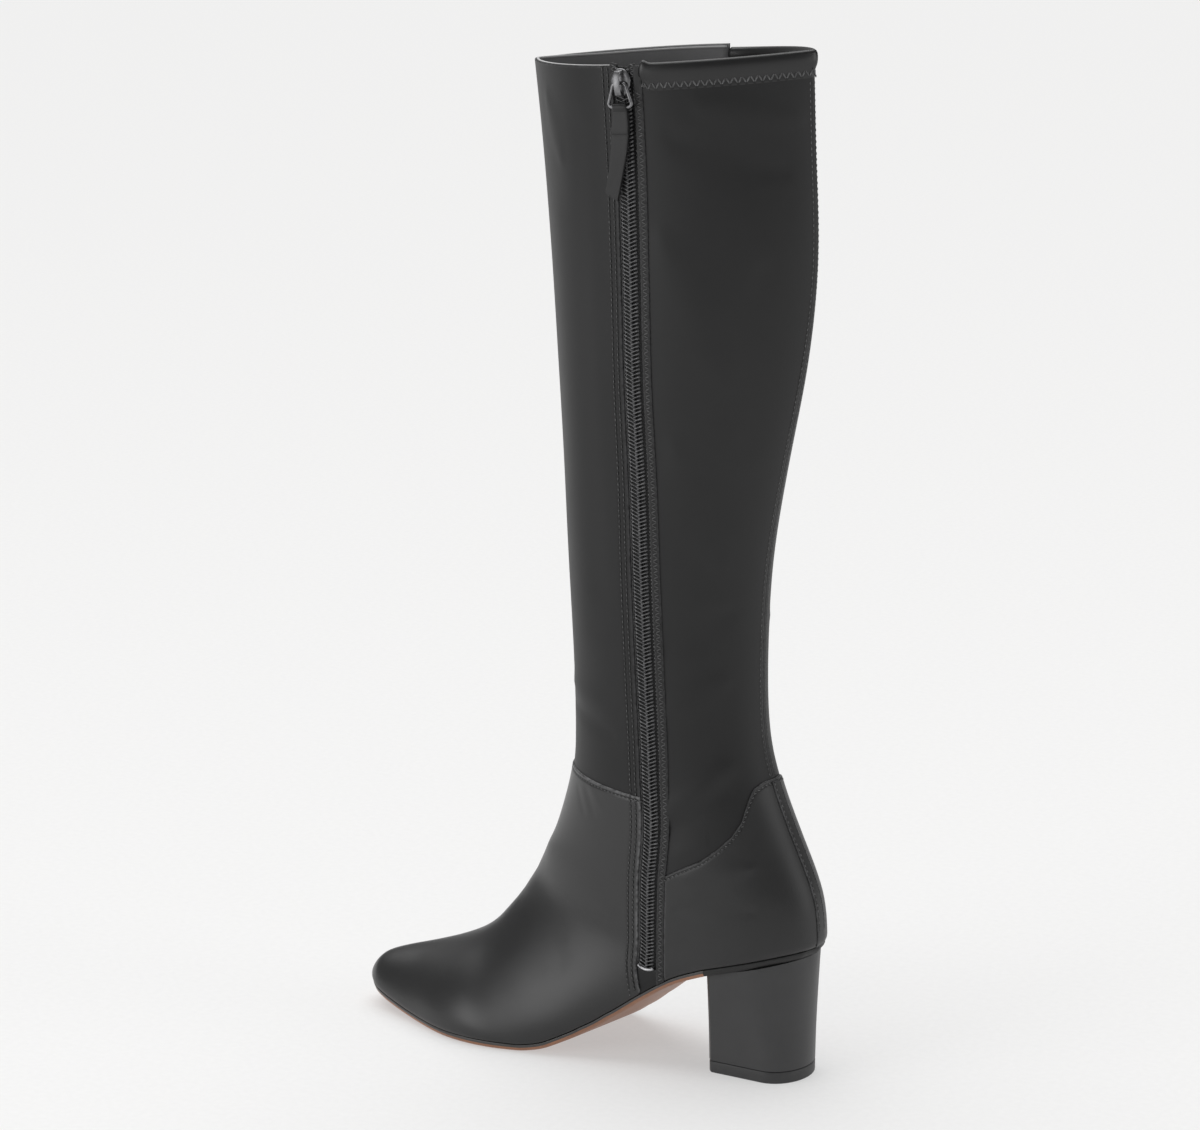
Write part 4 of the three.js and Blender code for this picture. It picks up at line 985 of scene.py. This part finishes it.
vamp = Patch(np.maximum(ZIP_TOE, INNER_FEATHER), np.minimum(OUTER_SEAM, OUTER_FEATHER), above=over_vamp(0),
             columns=90, rows=170, side_insets=SIDE_STEPS, end_insets=END_STEPS)
tip = np.clip((-200 - vamp.points[..., 0]) / 10, 0, 1)[..., None]
round_tip = vamp.points - np.array((-194.0, -9.5, 9.0))
round_tip /= np.linalg.norm(round_tip, axis=2, keepdims=True)
vamp.normals = vamp.normals * (1 - tip) + round_tip * tip
vamp.normals /= np.linalg.norm(vamp.normals, axis=2, keepdims=True)
beside_zip = np.interp(vamp.v, PLACES, np.where(ZIP_TOE > INNER_FEATHER, 1.0, 0.0))
pulled = groove(vamp.from_left, 2.6, 5.4) * beside_zip + groove(vamp.from_top, 1.9)
panel("vamp", vamp, 1.0 + relief(vamp.points, VAMP_FOLDS) + tucked(vamp, 0.9, 3.0) + pulled, -0.4,
      VAMP_LEATHER, "lrt", ["upper"], edge=0.8,
      rim=np.minimum(vamp.from_top, np.where(beside_zip > 0.5, vamp.from_left, 1000.0)))

counters = (
    ("counter_inner", PLACKET_EDGE, HEEL_LINE, "lrt"),
    ("counter_outer", HEEL_LINE, OUTER_SEAM_ROUND, "lrt"),
)
for name, left, right, rounded in counters:
    counter = Patch(left, right, above=over_counter(0), below=over_sole(0.3), columns=56, rows=64,
                    side_insets=SIDE_STEPS, end_insets=END_STEPS)
    pulled = groove(counter.from_top, 1.9)
    panel(name, counter, 1.05 + relief(counter.points, COUNTER_FOLDS) + tucked(counter, 1.7, 3.8) + pulled, -0.3,
          COUNTER_LEATHER, rounded, ["counter"], edge=0.8)
    sew(name + "_seam", across_row(counter, 1.9, 2.3, 0.95), 1.6, 0.27, lean=0.6 if name == "counter_inner" else -0.6)

def strip_side(reach):
    """A line down the boot at a fixed distance from the middle of the back."""
    step = np.linalg.norm(GRID[:, 1] - GRID[:, 0], axis=1)
    return np.clip(reach / np.maximum(step, 0.05) / SIDE_POINTS, 0, 0.2)


strip = Patch(-1 + strip_side(3.4), -1 - strip_side(3.4), above=over_counter(1.2), below=over_sole(0.3),
              columns=10, rows=60, side_insets=(0, 0.1, 0.4, 0.9), end_insets=(0, 0.1, 0.4, 0.9))
panel("heel_strip", strip, 1.6 + tucked(strip, 2.0, 4.0), 0.8, COUNTER_LEATHER, "lrt", ["counter"], edge=0.8)

placket = Patch(ZIP_HEEL, PLACKET_EDGE, above=under_collar(0.5), below=over_sole(0.3), columns=8, rows=220,
                side_insets=(0, 0.08, 0.3, 0.7), end_insets=(0, 0.2, 0.6))
panel("placket", placket, 0.75, -0.3, STRETCH_LEATHER, "lrt", ["upper"], edge=0.7)

lining_front = Patch(np.maximum(ZIP_TOE, INNER_FEATHER), np.minimum(OUTER_JOIN, OUTER_FEATHER), columns=50, rows=130,
                     end_insets=(0, 0.3, 0.8))
panel("lining_front", lining_front, -1.0, -1.7, LINING, "t", ["upper"])
lining_back = Patch(ZIP_HEEL, OUTER_JOIN_ROUND, above=under_collar(6), below=over_sole(1.0), columns=60, rows=90,
                    end_insets=(0, 0.3, 0.8))
panel("lining_back", lining_back, -1.0, -1.6, LINING, "t", ["upper"])


# ---- Rolled hem ----

def down_from_collar(t, reach):
    """Places down the boot that lie at these distances under the collar's edge, one row for each t."""
    v = np.linspace(0, 1.2, 160)
    path = surface(v[None, :], np.asarray(t)[:, None])
    run = run_across(path)
    return np.array([np.interp(reach, r, v) for r in run])


def collar_columns(start, stop, count):
    rounds = np.linspace(start, stop, 600)
    line = surface(np.zeros(600), rounds)
    run = run_along(line)
    return np.interp(np.linspace(0, run[-1], count), run, rounds)


def collar_band(name, start, stop, profile, columns, material, lump=False, outer_drop=0.0):
    """A band folded over the collar's edge. The profile gives how far out and how far up each point lies."""
    t = collar_columns(start, stop, columns)
    out, up = np.asarray(profile, float).T
    places = down_from_collar(t, np.maximum(-up, 0))
    rounds = np.repeat(t[:, None], len(up), 1)
    base, normal = surface(places, rounds), outward(places, rounds)
    step = surface(np.full_like(rounds, 0.0), rounds) - surface(np.full_like(rounds, 0.05), rounds)
    rising = step / np.linalg.norm(step, axis=2, keepdims=True)
    points = base + normal * out[None, :, None] + rising * np.maximum(up, 0)[None, :, None]
    middle = points.mean(1, keepdims=True)
    if outer_drop:
        share = np.clip(t / 0.2, 0, 1)
        points[..., 2] -= (outer_drop * share * share * (3 - 2 * share))[:, None]
        middle = points.mean(1, keepdims=True)
    if lump:
        along = run_along(middle[:, 0])
        share = np.clip((-1 - t) / (-1 - t[-1]), 0, 1)
        points[..., 2] += (1.3 * np.exp(-((along - 2.2) / 2.0) ** 2) - 2.3 * share * share * (3 - 2 * share))[:, None]
        middle = points.mean(1, keepdims=True)
    for end in (0, -1):
        for k, share in ((0, 0.55), (1, 0.86)):
            i = k if end == 0 else -1 - k
            points[i] = middle[i] + (points[i] - middle[i]) * share
    rows, count = points.shape[:2]
    along = run_along(middle[:, 0])
    uv = np.stack(np.broadcast_arrays(along[:, None] * MM, (up * MM)[None]), -1).reshape(-1, 2)
    piece = new_piece(name, points.reshape(-1, 3), tube_faces(rows, count), uv, material)
    weld(piece)
    return piece


HEM_PROFILE = (  # out, up
    (-0.1, -11.8), (0.1, -11.7), (0.15, -11.2), (0.16, -10.2), (0.14, -9.2), (0.4, -8.1), (0.9, -7), (1.4, -5.6),
    (1.65, -4), (1.7, -2.4), (1.5, -0.9), (1.1, 0.0), (0.4, 0.55), (-0.4, 0.6), (-1.2, 0.25), (-1.8, -0.5),
    (-2.2, -1.6), (-2.3, -3.2),
    (-2.2, -6), (-2.0, -9), (-1.6, -9.4), (-1.2, -9), (-0.9, -6), (-0.5, -3), (-0.2, -3), (-0.05, -8),
)
hem = collar_band("rolled_hem", zip_round(8.0)[0], OUTER_JOIN_ROUND[0] - 0.004, HEM_PROFILE, 190, HEM_LEATHER,
                  lump=True)
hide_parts("collar_hem")
EDGE_PROFILE = ((-0.8, -0.8), (-0.8, 0.0), (-0.95, 0.2), (-1.5, 0.2), (-1.85, 0.0), (-1.85, -0.9))
edge = collar_band("lining_edge", ZIP_TOE[0], OUTER_JOIN[0], EDGE_PROFILE, 160, RAW_EDGE, outer_drop=0.9)

# ---- Zip: two cloth tapes, the coil, and stitches that hold it ----

ZIP_TOP, ZIP_BOTTOM = 469.4, 50.8  # heights of the coil's ends
PITCH = 1.76  # from one tooth to the next


def zip_tape(name, near_side, far_side):
    tape = Patch(zip_round(near_side), zip_round(far_side), above=lambda p: p[..., 2] - 470, below=over_sole(3.5),
                 columns=10, rows=200, side_insets=(0, 0.1, 0.4), end_insets=(0, 0.3))
    panel(name, tape, -1.95, -2.7, TAPE_CLOTH, "lrtb", ["zip_tape"], edge=0.3)


zip_tape("tape_toe_side", -11.5, -0.15)
zip_tape("tape_heel_side", 0.15, 11.5)

zip_foot = Patch(zip_round(-7.5), zip_round(7.5), above=lambda p: p[..., 2] - 49.6, below=over_sole(0.3),
                 columns=12, rows=14, end_insets=(0, 0.1, 0.4))
panel("zip_foot", zip_foot, -0.1, -1.5, SHAFT_LEATHER, "t", ["upper"])

tooth = coil_tooth()
for side, name in ((-1, "coil_toe_side"), (1, "coil_heel_side")):
    base, out, way, across = line_down(0, PITCH, ZIP_TOP, ZIP_BOTTOM, -0.85)
    if side > 0:
        base = base + way * PITCH / 2
    toward = across * (1 if (across[:, 0] * side).mean() < 0 else -1)
    row = copies(name, tooth, (base - toward * 1.55, out, way, toward + way * 0.42), [TEETH_NYLON])
    weld(row)
    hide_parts("zip_teeth")
drop(tooth)

small = stitch_form(0.95, 0.24)
for shift, name in ((-4.45, "tape_stitches_toe_side"), (4.45, "tape_stitches_heel_side")):
    copies(name, small, line_down(shift, PITCH, ZIP_TOP - 0.8, ZIP_BOTTOM + 1.2, -1.75), [TAPE_THREAD, NEEDLE_HOLE_SHADE])
drop(small)

# ---- Seams: rows of stitches ----

def clear_of_sole(p):
    return p[:, 2] > sole_top(p[:, 0], p[:, 1]) + 1.5


for shift, name in ((-7.6, "edge_seam_near_zip"), (-10.4, "edge_seam_second")):
    sew(name, trimmed(line_down(shift, 2.5, 468.5, 20, shaft_or_vamp), clear_of_sole), 1.5, 0.24)
sew("placket_seam", trimmed(line_down(7.6, 1.42, 459, 44, 0.78), clear_of_sole), radius=0.31, zigzag_width=2.7,
    thread_look=DARK_THREAD)
for shift, name in ((-4.4, "tape_end_stitches_toe_side"), (5.0, "tape_end_stitches_heel_side")):
    sew(name, line_down(shift, 0.9, 471.6, 466.4, 0.42), radius=0.24, zigzag_width=2.2)
sew("vamp_seam", trimmed(across_row(vamp, 1.9, 2.3, 0.85), lambda p: p[:, 2] > 120), 1.5, 0.24)
for away, name in ((2.4, "join_seam"), (5.0, "join_seam_second")):
    sew(name, trimmed(across_row(front, away, 2.5, 0.1, "right"), lambda p: p[:, 2] < 469.5), 1.6, 0.24)

for side in (-1, 1):
    for reach, lift, name, low, high in ((2.3, 0.05, "back_seam", 141, 463), (2.2, 1.6, "strip_seam", 74, 139)):
        v = np.linspace(0.2, 11.4, 5000)
        t = -1 + side * np.interp(v, PLACES, strip_side(reach))
        sew(name + ("_inner" if side > 0 else "_outer"),
            spaced(v, t, 2.6, lambda p: (p[:, 2] < high) & (p[:, 2] > low), lift), 1.7, 0.25)


def hem_seam():
    t = collar_columns(zip_round(9.2)[0], OUTER_JOIN_ROUND[0] - 0.02, 4000)
    v = down_from_collar(t, np.array([9.4]))[:, 0]
    return spaced(v, t, 1.8, lambda p: p[:, 2] > 0, 0.2)


sew("hem_seam", hem_seam(), radius=0.42, zigzag_width=3.5)


# ---- Sole ----

SOLE_STEPS = 150  # sections along the sole
HEEL_BREAST_X = -18  # behind it the underside is covered by the heel
SOLE_PROFILE = (  # out, up
    (-0.7, 0.0), (-0.1, 0.0), (0.15, -0.15), (0.25, -0.5), (0.2, -1.1), (0.05, -1.5), (-0.35, -2.4), (-1.2, -3.3),
)


def sole_piece():
    """The sole leather: a slab under the foot with a dark edge, a brown underside and a rubbed lower corner; behind
    the heel breast all of it is near black, painted shade.
    """
    inner, outer = feather_round(-1, -0.3), feather_round(1, -0.3)
    there = np.where((np.abs(inner) < 0.999) & (np.abs(outer) < 0.999) & (PLACES < 23.85))[0]
    near, far = surface(PLACES[there], inner[there]), surface(PLACES[there], outer[there])
    rear = surface(np.array([PLACES[there[0]] - 0.02]), np.array([1.0]))[0]
    near = np.concatenate(([rear], near, [TOE_TIP]))
    far = np.concatenate(([rear], far, [TOE_TIP]))
    even = np.linspace(0, 1, SOLE_STEPS)
    lines = []
    for line in (near, far):
        run = run_along(line[:, :2])
        share = (1 - np.cos(even * math.pi)) / 2 * 0.7 + even * 0.3
        lines.append(np.stack([np.interp(share * run[-1], run, line[:, k]) for k in range(2)], 1))
    near, far = lines
    loop = np.concatenate((near, far[-2:0:-1]))
    way = np.roll(loop, -1, 0) - np.roll(loop, 1, 0)
    away = np.stack((way[:, 1], -way[:, 0]), 1) / np.linalg.norm(way, axis=1, keepdims=True)
    if ((loop - loop.mean(0)) * away).sum() < 0:
        away = -away
    last = SOLE_STEPS - 1
    near_away = away[:SOLE_STEPS]
    far_away = np.concatenate((away[:1], away[:last:-1], away[last:SOLE_STEPS]))
    across = np.linspace(0, 1, 22)[1:-1]
    rings = []
    for a, b, u, w in zip(near, far, near_away, far_away):
        waist = 1 + 1.6 * math.exp(-(((a[0] + 66) / 34) ** 2))
        edge_here = [(off if off > -0.2 or drop_by == 0 else off * waist, drop_by) for off, drop_by in SOLE_PROFILE]
        low = [(*(b + w * off), drop_by) for off, drop_by in edge_here]
        turn_in = 1.2 * waist
        under = [(*((b - w * turn_in) * (1 - s) + (a - u * turn_in) * s), -3.4) for s in across]
        up = [(*(a + u * off), drop_by) for off, drop_by in edge_here[::-1]]
        over = [(*((a - u * 0.7) * (1 - s) + (b - w * 0.7) * s), 0.0) for s in across]
        rings.append(low + under + up + over)
    rings = np.array(rings)
    z = sole_top(rings[..., 0], rings[..., 1]) + rings[..., 2] - 0.05
    z = np.maximum(z, np.where(rings[..., 2] < -3.3, 0.0, 0.02 * -rings[..., 2]))
    points = np.concatenate((rings[..., :2], z[..., None]), -1)
    rows, count = points.shape[:2]
    piece = new_piece("sole", points.reshape(-1, 3), tube_faces(rows, count), None, SOLE_EDGE)
    piece.data.materials.append(SOLE_UNDER)
    piece.data.materials.append(SOLE_SHADE_BY_HEEL)
    column = np.tile(np.arange(count), rows - 1)
    k = len(SOLE_PROFILE)
    brown = ((column >= k - 3) & (column < k + len(across) + 2)).astype(int)
    # Behind the heel breast every face of the sole takes the near-black painted shade.
    brown = np.where((points[:-1, :, 0] < HEEL_BREAST_X).ravel(), brown, 2)
    piece.data.polygons.foreach_set("material_index", np.concatenate((brown, [0, 0])))
    weld(piece)
    return piece


sole = sole_piece()
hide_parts("outsole")


def bottom_stop():
    """The curved wire staple that ends the zip."""
    stop = start(bpy.ops.mesh.primitive_circle_add, vertices=10, radius=0.75 * MM, fill_type="NGON",
                 location=(0, 7 * MM, 0), rotation=(0, math.pi / 2, 0))
    edit()
    turn = math.radians(74)
    bpy.ops.transform.rotate(value=turn / 2, orient_axis="Z", center_override=(0, 0, 0))
    bpy.ops.mesh.spin(steps=18, angle=-turn, center=(0, 0, 0), axis=(0, 0, 1))
    pick_all()
    bpy.ops.mesh.remove_doubles(threshold=0.00001)
    face_outwards()
    done()
    return stop


def put_on_zip(name, form, height, lift, material, shift=0.0, turn=0.0):
    """Puts a form beside the middle of the zip at this height."""
    v = np.linspace(0, 15, 3000)
    t = np.interp(v, PLACES, zip_round(shift))
    k = int(np.argmin(abs(surface(v, t)[:, 2] - height)))
    places = spaced(v[k - 1:k + 3], t[k - 1:k + 3], 100, lambda p: p[:, 2] > 0, lift)
    return copies(name, form, tuple(part[:1] for part in places), [material], turns=[turn])


form = bottom_stop()
stop = put_on_zip("bottom_staple", form, 56.0, 0.3, STOP_METAL)
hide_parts("zip_bottom_stop")
drop(form)


# ---- Solids that keep their shape get their finish, and softer edges ----

def soften(piece, width, segments=2, angle=35):
    """Rounds the piece's sharp edges for good."""
    only(piece)
    bevel = piece.modifiers.new("round", "BEVEL")
    bevel.width, bevel.segments = width * MM, segments
    bevel.limit_method, bevel.angle_limit = "ANGLE", math.radians(angle)
    bpy.ops.object.modifier_apply(modifier="round")


def smooth_copy(name, node_name, material, width):
    """The solid itself, with its double points merged, its sides smooth and its edges rounded."""
    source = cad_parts[node_name]
    mesh = source.data.copy()
    mesh.name = name
    mesh.transform(source.matrix_world)
    piece = bpy.data.objects.new(name, mesh)
    bpy.context.scene.collection.objects.link(piece)
    whole = bmesh.new()
    whole.from_mesh(mesh)
    bmesh.ops.remove_doubles(whole, verts=whole.verts, dist=MERGE_DISTANCE)
    bmesh.ops.dissolve_limit(whole, angle_limit=math.radians(0.5), verts=whole.verts, edges=whole.edges)
    bmesh.ops.recalc_face_normals(whole, faces=whole.faces)
    whole.to_mesh(mesh)
    whole.free()
    soften(piece, width, 3, 40)
    bpy.ops.object.shade_smooth_by_angle(angle=math.radians(50))
    layer = mesh.attributes.new("rim", "FLOAT", "POINT")
    layer.data.foreach_set("value", np.ones(len(mesh.vertices), np.float32))
    finish_piece(piece, material)
    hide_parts(node_name)
    return piece


def dress(name, material, width):
    """Gives a solid its finish and soft edges, and leaves its mesh as it is."""
    node_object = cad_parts[name]
    for place in node_object.material_slots:
        place.material = material
    merge = node_object.modifiers.new("merge", "WELD")
    merge.merge_threshold = 0.00001
    bevel = node_object.modifiers.new("soft edges", "BEVEL")
    bevel.width, bevel.segments = width * MM, 3
    bevel.limit_method, bevel.angle_limit = "ANGLE", math.radians(38)
    bevel.harden_normals = False


smooth_copy("heel", "heel_block", HEEL_LEATHER, 0.6)
smooth_copy("lift", "heel_lift", LIFT_RUBBER, 0.5)
dress("insole", INSOLE_LEATHER, 0.4)


# ---- Zip slider, its ring and the leather tab ----

SLIDER_PLACE = np.array((-52.90528, -45.00778, 463.5))
SLIDER_SIDE = np.array((0.99684, 0.038, 0.06969))
SLIDER_UP = np.array((-0.06964, -0.00265, 0.99757))
SLIDER_OUT = np.array((0.03809, -0.99927, 0.0))
PLATE_BASE, PLATE_TOP, HINGE_RISE = 0.7, 1.9, 3.4
RING_LENGTH, TAB_LENGTH, TAB_WIDTH, TAB_NECK, TAB_LEAN = 10.5, 42, 8.4, 6.6, 4.5
TAB_STEPS = 32


def join(parts):
    bpy.ops.object.select_all(action="DESELECT")
    for part in parts:
        part.select_set(True)
    bpy.context.view_layer.objects.active = parts[0]
    bpy.ops.object.join()
    return parts[0]


def on_slider(name, form, material, body):
    """Puts a form on the slider's place on the zip."""
    places = (SLIDER_PLACE[None], SLIDER_OUT[None], SLIDER_UP[None], SLIDER_SIDE[None])
    piece = copies(name, form, places, [material], body)
    weld(piece)
    only(piece)
    bpy.ops.object.shade_smooth_by_angle(angle=math.radians(32))
    drop(form)
    return piece


def slider_plate():
    """The slider's shield: wide shoulders, a narrow tail and an inset panel on top."""
    plate = start(bpy.ops.mesh.primitive_circle_add, vertices=36, radius=MM, fill_type="NGON")
    edit()
    bpy.ops.transform.resize(value=(5.0, 6.4, 1))
    for below, narrower in ((0.5, 0.93), (-1.5, 0.9), (-3.5, 0.86)):
        pick(plate, "VERT", lambda m, n, below=below: m.y < below)
        bpy.ops.transform.resize(value=(narrower, 1, 1), center_override=(0, 0, 0))
    pick_all()
    bpy.ops.transform.translate(value=(0, 0, PLATE_BASE * MM))
    bpy.ops.mesh.extrude_region_move(TRANSFORM_OT_translate={"value": (0, 0, (PLATE_TOP - PLATE_BASE) * MM)})
    pick(plate, "FACE", lambda m, n: m.z > PLATE_TOP - 0.1)
    bpy.ops.mesh.inset(thickness=1.1 * MM, depth=0.45 * MM)
    face_outwards()
    done()
    soften(plate, 0.35)
    return plate


def slider_bridge():
    """The loop over the shield that holds the ring."""
    bridge = start(bpy.ops.mesh.primitive_plane_add, size=MM, location=(0, 5.2 * MM, 0))
    edit()
    bpy.ops.transform.resize(value=(3.4, 1.3, 1))
    bpy.ops.mesh.spin(steps=16, angle=-math.pi, center=(0, 0, 0), axis=(1, 0, 0))
    pick_all()
    bpy.ops.mesh.remove_doubles(threshold=0.00001)
    bpy.ops.transform.resize(value=(1, 1, 0.85), center_override=(0, 0, 0))
    pick(bridge, "VERT", lambda m, n: m.z > 2.6)
    bpy.ops.transform.resize(value=(0.86, 1.12, 0.6), center_override=(0, 0, 2.6 * MM))
    pick_all()
    bpy.ops.transform.translate(value=(0, 0, (PLATE_TOP + 0.1) * MM))
    face_outwards()
    done()
    soften(bridge, 0.3, 2, 50)
    return bridge


def ring_form():
    """The wire ring: narrow where it passes under the bridge, wide where the tab hangs."""
    ring = start(bpy.ops.mesh.primitive_torus_add, major_segments=40, minor_segments=12, major_radius=2 * MM,
                 minor_radius=0.8 * MM)
    edit()
    for side in (-1, 1):
        for end, reach in ((1, 1.5), (-1, 3.75)):
            pick(ring, "VERT", lambda m, n, side=side, end=end: m.x * side > 0.01 and m.y * end > -0.01 * (end > 0))
            bpy.ops.transform.translate(value=(side * reach * MM, 0, 0))
    for end in (-1, 1):
        pick(ring, "VERT", lambda m, n, end=end: m.y * end > 0.01 or (end > 0 and abs(m.y) <= 0.01))
        bpy.ops.transform.translate(value=(0, end * (RING_LENGTH / 2 - 2) * MM, 0))
    pick_all()
    bpy.ops.transform.translate(value=(0, -RING_LENGTH / 2 * MM, HINGE_RISE * MM))
    done()
    return ring


def tab_form():
    """The leather tab: folded over the ring, wide below its shoulders, with two slanting cuts at its end."""
    tab = start(bpy.ops.mesh.primitive_grid_add, x_subdivisions=6, y_subdivisions=TAB_STEPS, size=MM)
    edit()
    bpy.ops.transform.resize(value=(1, TAB_LENGTH, 1))
    bpy.ops.transform.translate(value=(0, -TAB_LENGTH / 2 * MM, 0))
    for k in range(TAB_STEPS + 1):
        share = k / TAB_STEPS
        y = -TAB_LENGTH * share
        broad = TAB_NECK + (TAB_WIDTH - TAB_NECK) * min(share / 0.2, 1) ** 0.8 - 1.2 * max(share - 0.24, 0)
        swing = -TAB_LEAN * share * share * 1.3 - 0.3 * share - 1.7 * share**1.6
        pick(tab, "VERT", lambda m, n, y=y: abs(m.y - y) < 0.3)
        bpy.ops.transform.resize(value=(broad, 1, 1), center_override=(0, y * MM, 0))
        bpy.ops.transform.translate(value=(swing * MM, 0, 0.5 * math.sin(share * 5) * share * MM))
    pick_all()
    bpy.ops.mesh.extrude_region_move(TRANSFORM_OT_translate={"value": (0, 0, 1.5 * MM)})
    face_outwards()
    pick(tab, "FACE", lambda m, n: n.z > 0.6 and m.y > -11.8)
    bpy.ops.mesh.extrude_region_move(TRANSFORM_OT_translate={"value": (0, 0, 0.5 * MM)})
    corners = [Vector((x - TAB_LEAN, y - TAB_LENGTH, 0)) for x, y in ((-6.6, 4.6), (0.2, 0.2), (2.2, 7.0))]
    for here, after in zip(corners, corners[1:]):
        slant = (after - here).cross(Vector((0, 0, 1)))
        pick_all()
        bpy.ops.mesh.bisect(plane_co=here * MM, plane_no=slant.normalized(), use_fill=True, clear_outer=True)
    face_outwards()
    bpy.ops.transform.translate(value=(0, 0, -0.9 * MM))
    done()
    soften(tab, 0.3, 3, 50)
    fold = start(bpy.ops.mesh.primitive_cylinder_add, vertices=20, radius=1.9 * MM, depth=TAB_NECK * MM,
                 rotation=(0, math.pi / 2, 0))
    edit()
    pick(fold, "VERT", lambda m, n: m.y < 0)
    bpy.ops.transform.resize(value=(1, 1.5, 0.85), center_override=(0, 0, 0))
    done()
    soften(fold, 0.4, 3)
    tab = join([tab, fold])
    edit()
    bpy.ops.transform.translate(value=(0, -RING_LENGTH * MM, HINGE_RISE * MM))
    done()
    return tab


slider = on_slider("slider", join([slider_plate(), slider_bridge()]), SLIDER_METAL, "boot")
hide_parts("zip_slider")
ring = on_slider("slider_ring", ring_form(), SLIDER_METAL, "pull")
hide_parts("pull_ring")
tab = on_slider("leather_tab", tab_form(), TAB_LEATHER, "pull")
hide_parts("pull_tab")


def tape_end():
    """The end of a zip tape, folded over and stitched down at the collar."""
    end = start(bpy.ops.mesh.primitive_cube_add, size=MM)
    edit()
    bpy.ops.transform.resize(value=(4.2, 5.0, 1.5))
    bpy.ops.mesh.subdivide(number_cuts=2)
    pick(end, "VERT", lambda m, n: m.y < -2.4)
    bpy.ops.transform.resize(value=(0.82, 1, 1.2))
    done()
    soften(end, 0.5, 3)
    return end


form = tape_end()
for shift, turn, name in ((-4.6, 0.22, "tape_end_toe_side"), (4.9, -0.22, "tape_end_heel_side")):
    piece = put_on_zip(name, form, 469.0, -0.4, TAPE_CLOTH, shift, turn)
drop(form)


# ---- Camera, floor and light ----

FOCAL_LENGTH_PX, PHOTO_WIDTH_PX, SENSOR_MM = 4364, 1200, 36


def add_camera():
    data = bpy.data.cameras.new("photo_camera")
    data.lens = FOCAL_LENGTH_PX / PHOTO_WIDTH_PX * SENSOR_MM
    data.sensor_fit, data.sensor_width = "HORIZONTAL", SENSOR_MM
    data.clip_start, data.clip_end = 0.05, 60
    camera = bpy.data.objects.new("photo_camera", data)
    pan, tilt = math.radians(31.34), math.radians(13.95)
    camera.location = (0.9333, -1.6836, 0.72)
    camera.rotation_euler = (math.pi / 2 - tilt, 0, pan)
    bpy.context.scene.collection.objects.link(camera)
    bpy.context.scene.camera = camera


def add_floor():
    mesh = bpy.data.meshes.new("floor")
    mesh.from_pydata([(-30, -30, 0), (30, -30, 0), (30, 30, 0), (-30, 30, 0)], [], [(0, 1, 2, 3)])
    floor = bpy.data.objects.new("floor", mesh)
    bpy.context.scene.collection.objects.link(floor)
    material, tree, shader = new_material("Paper floor")
    place = node(tree, "ShaderNodeTexCoord").outputs["Object"]
    fibre = node(tree, "ShaderNodeTexNoise", {"Vector": place, "Scale": 300.0}).outputs[0]
    paper = tones(tree, fibre, ((0.3, (0.44, 0.438, 0.435)), (0.7, (0.46, 0.458, 0.455))))
    tree.links.new(paper, shader.inputs["Base Color"])
    shader.inputs["Roughness"].default_value = 0.9
    shader.inputs["Specular IOR Level"].default_value = 0.0
    shader.inputs["Emission Color"].default_value = (1, 1, 1, 1)
    shader.inputs["Emission Strength"].default_value = 0.435
    mesh.materials.append(material)


def add_light(name, place, target, wide, tall, power):
    data = bpy.data.lights.new(name, "AREA")
    data.shape, data.size, data.size_y, data.energy = "RECTANGLE", wide, tall, power
    light = bpy.data.objects.new(name, data)
    light.location = place
    light.rotation_euler = (Vector(target) - Vector(place)).to_track_quat("-Z", "Y").to_euler()
    bpy.context.scene.collection.objects.link(light)


def add_studio():
    world = bpy.data.worlds.new("studio")
    world.use_nodes = True
    shade = world.node_tree.nodes["Background"]
    shade.inputs[0].default_value = (1, 1, 1, 1)
    shade.inputs[1].default_value = 0.22
    bpy.context.scene.world = world
    data = bpy.data.lights.new("overhead", "SUN")
    data.energy, data.angle = 2.5, math.radians(70)
    overhead = bpy.data.objects.new("overhead", data)
    overhead.rotation_euler = (math.radians(-12), math.radians(-16), 0)
    bpy.context.scene.collection.objects.link(overhead)
    add_light("key_softbox", (-1.25, -2.1, 0.7), (-0.08, 0, 0.2), 1.5, 1.3, 19)
    add_light("right_softbox", (2.1, 0.45, 0.75), (-0.02, 0, 0.2), 0.9, 1.4, 9)
    bpy.context.scene.view_settings.view_transform = "Standard"
    bpy.context.scene.view_settings.look = "None"


add_camera()
add_floor()
add_studio()
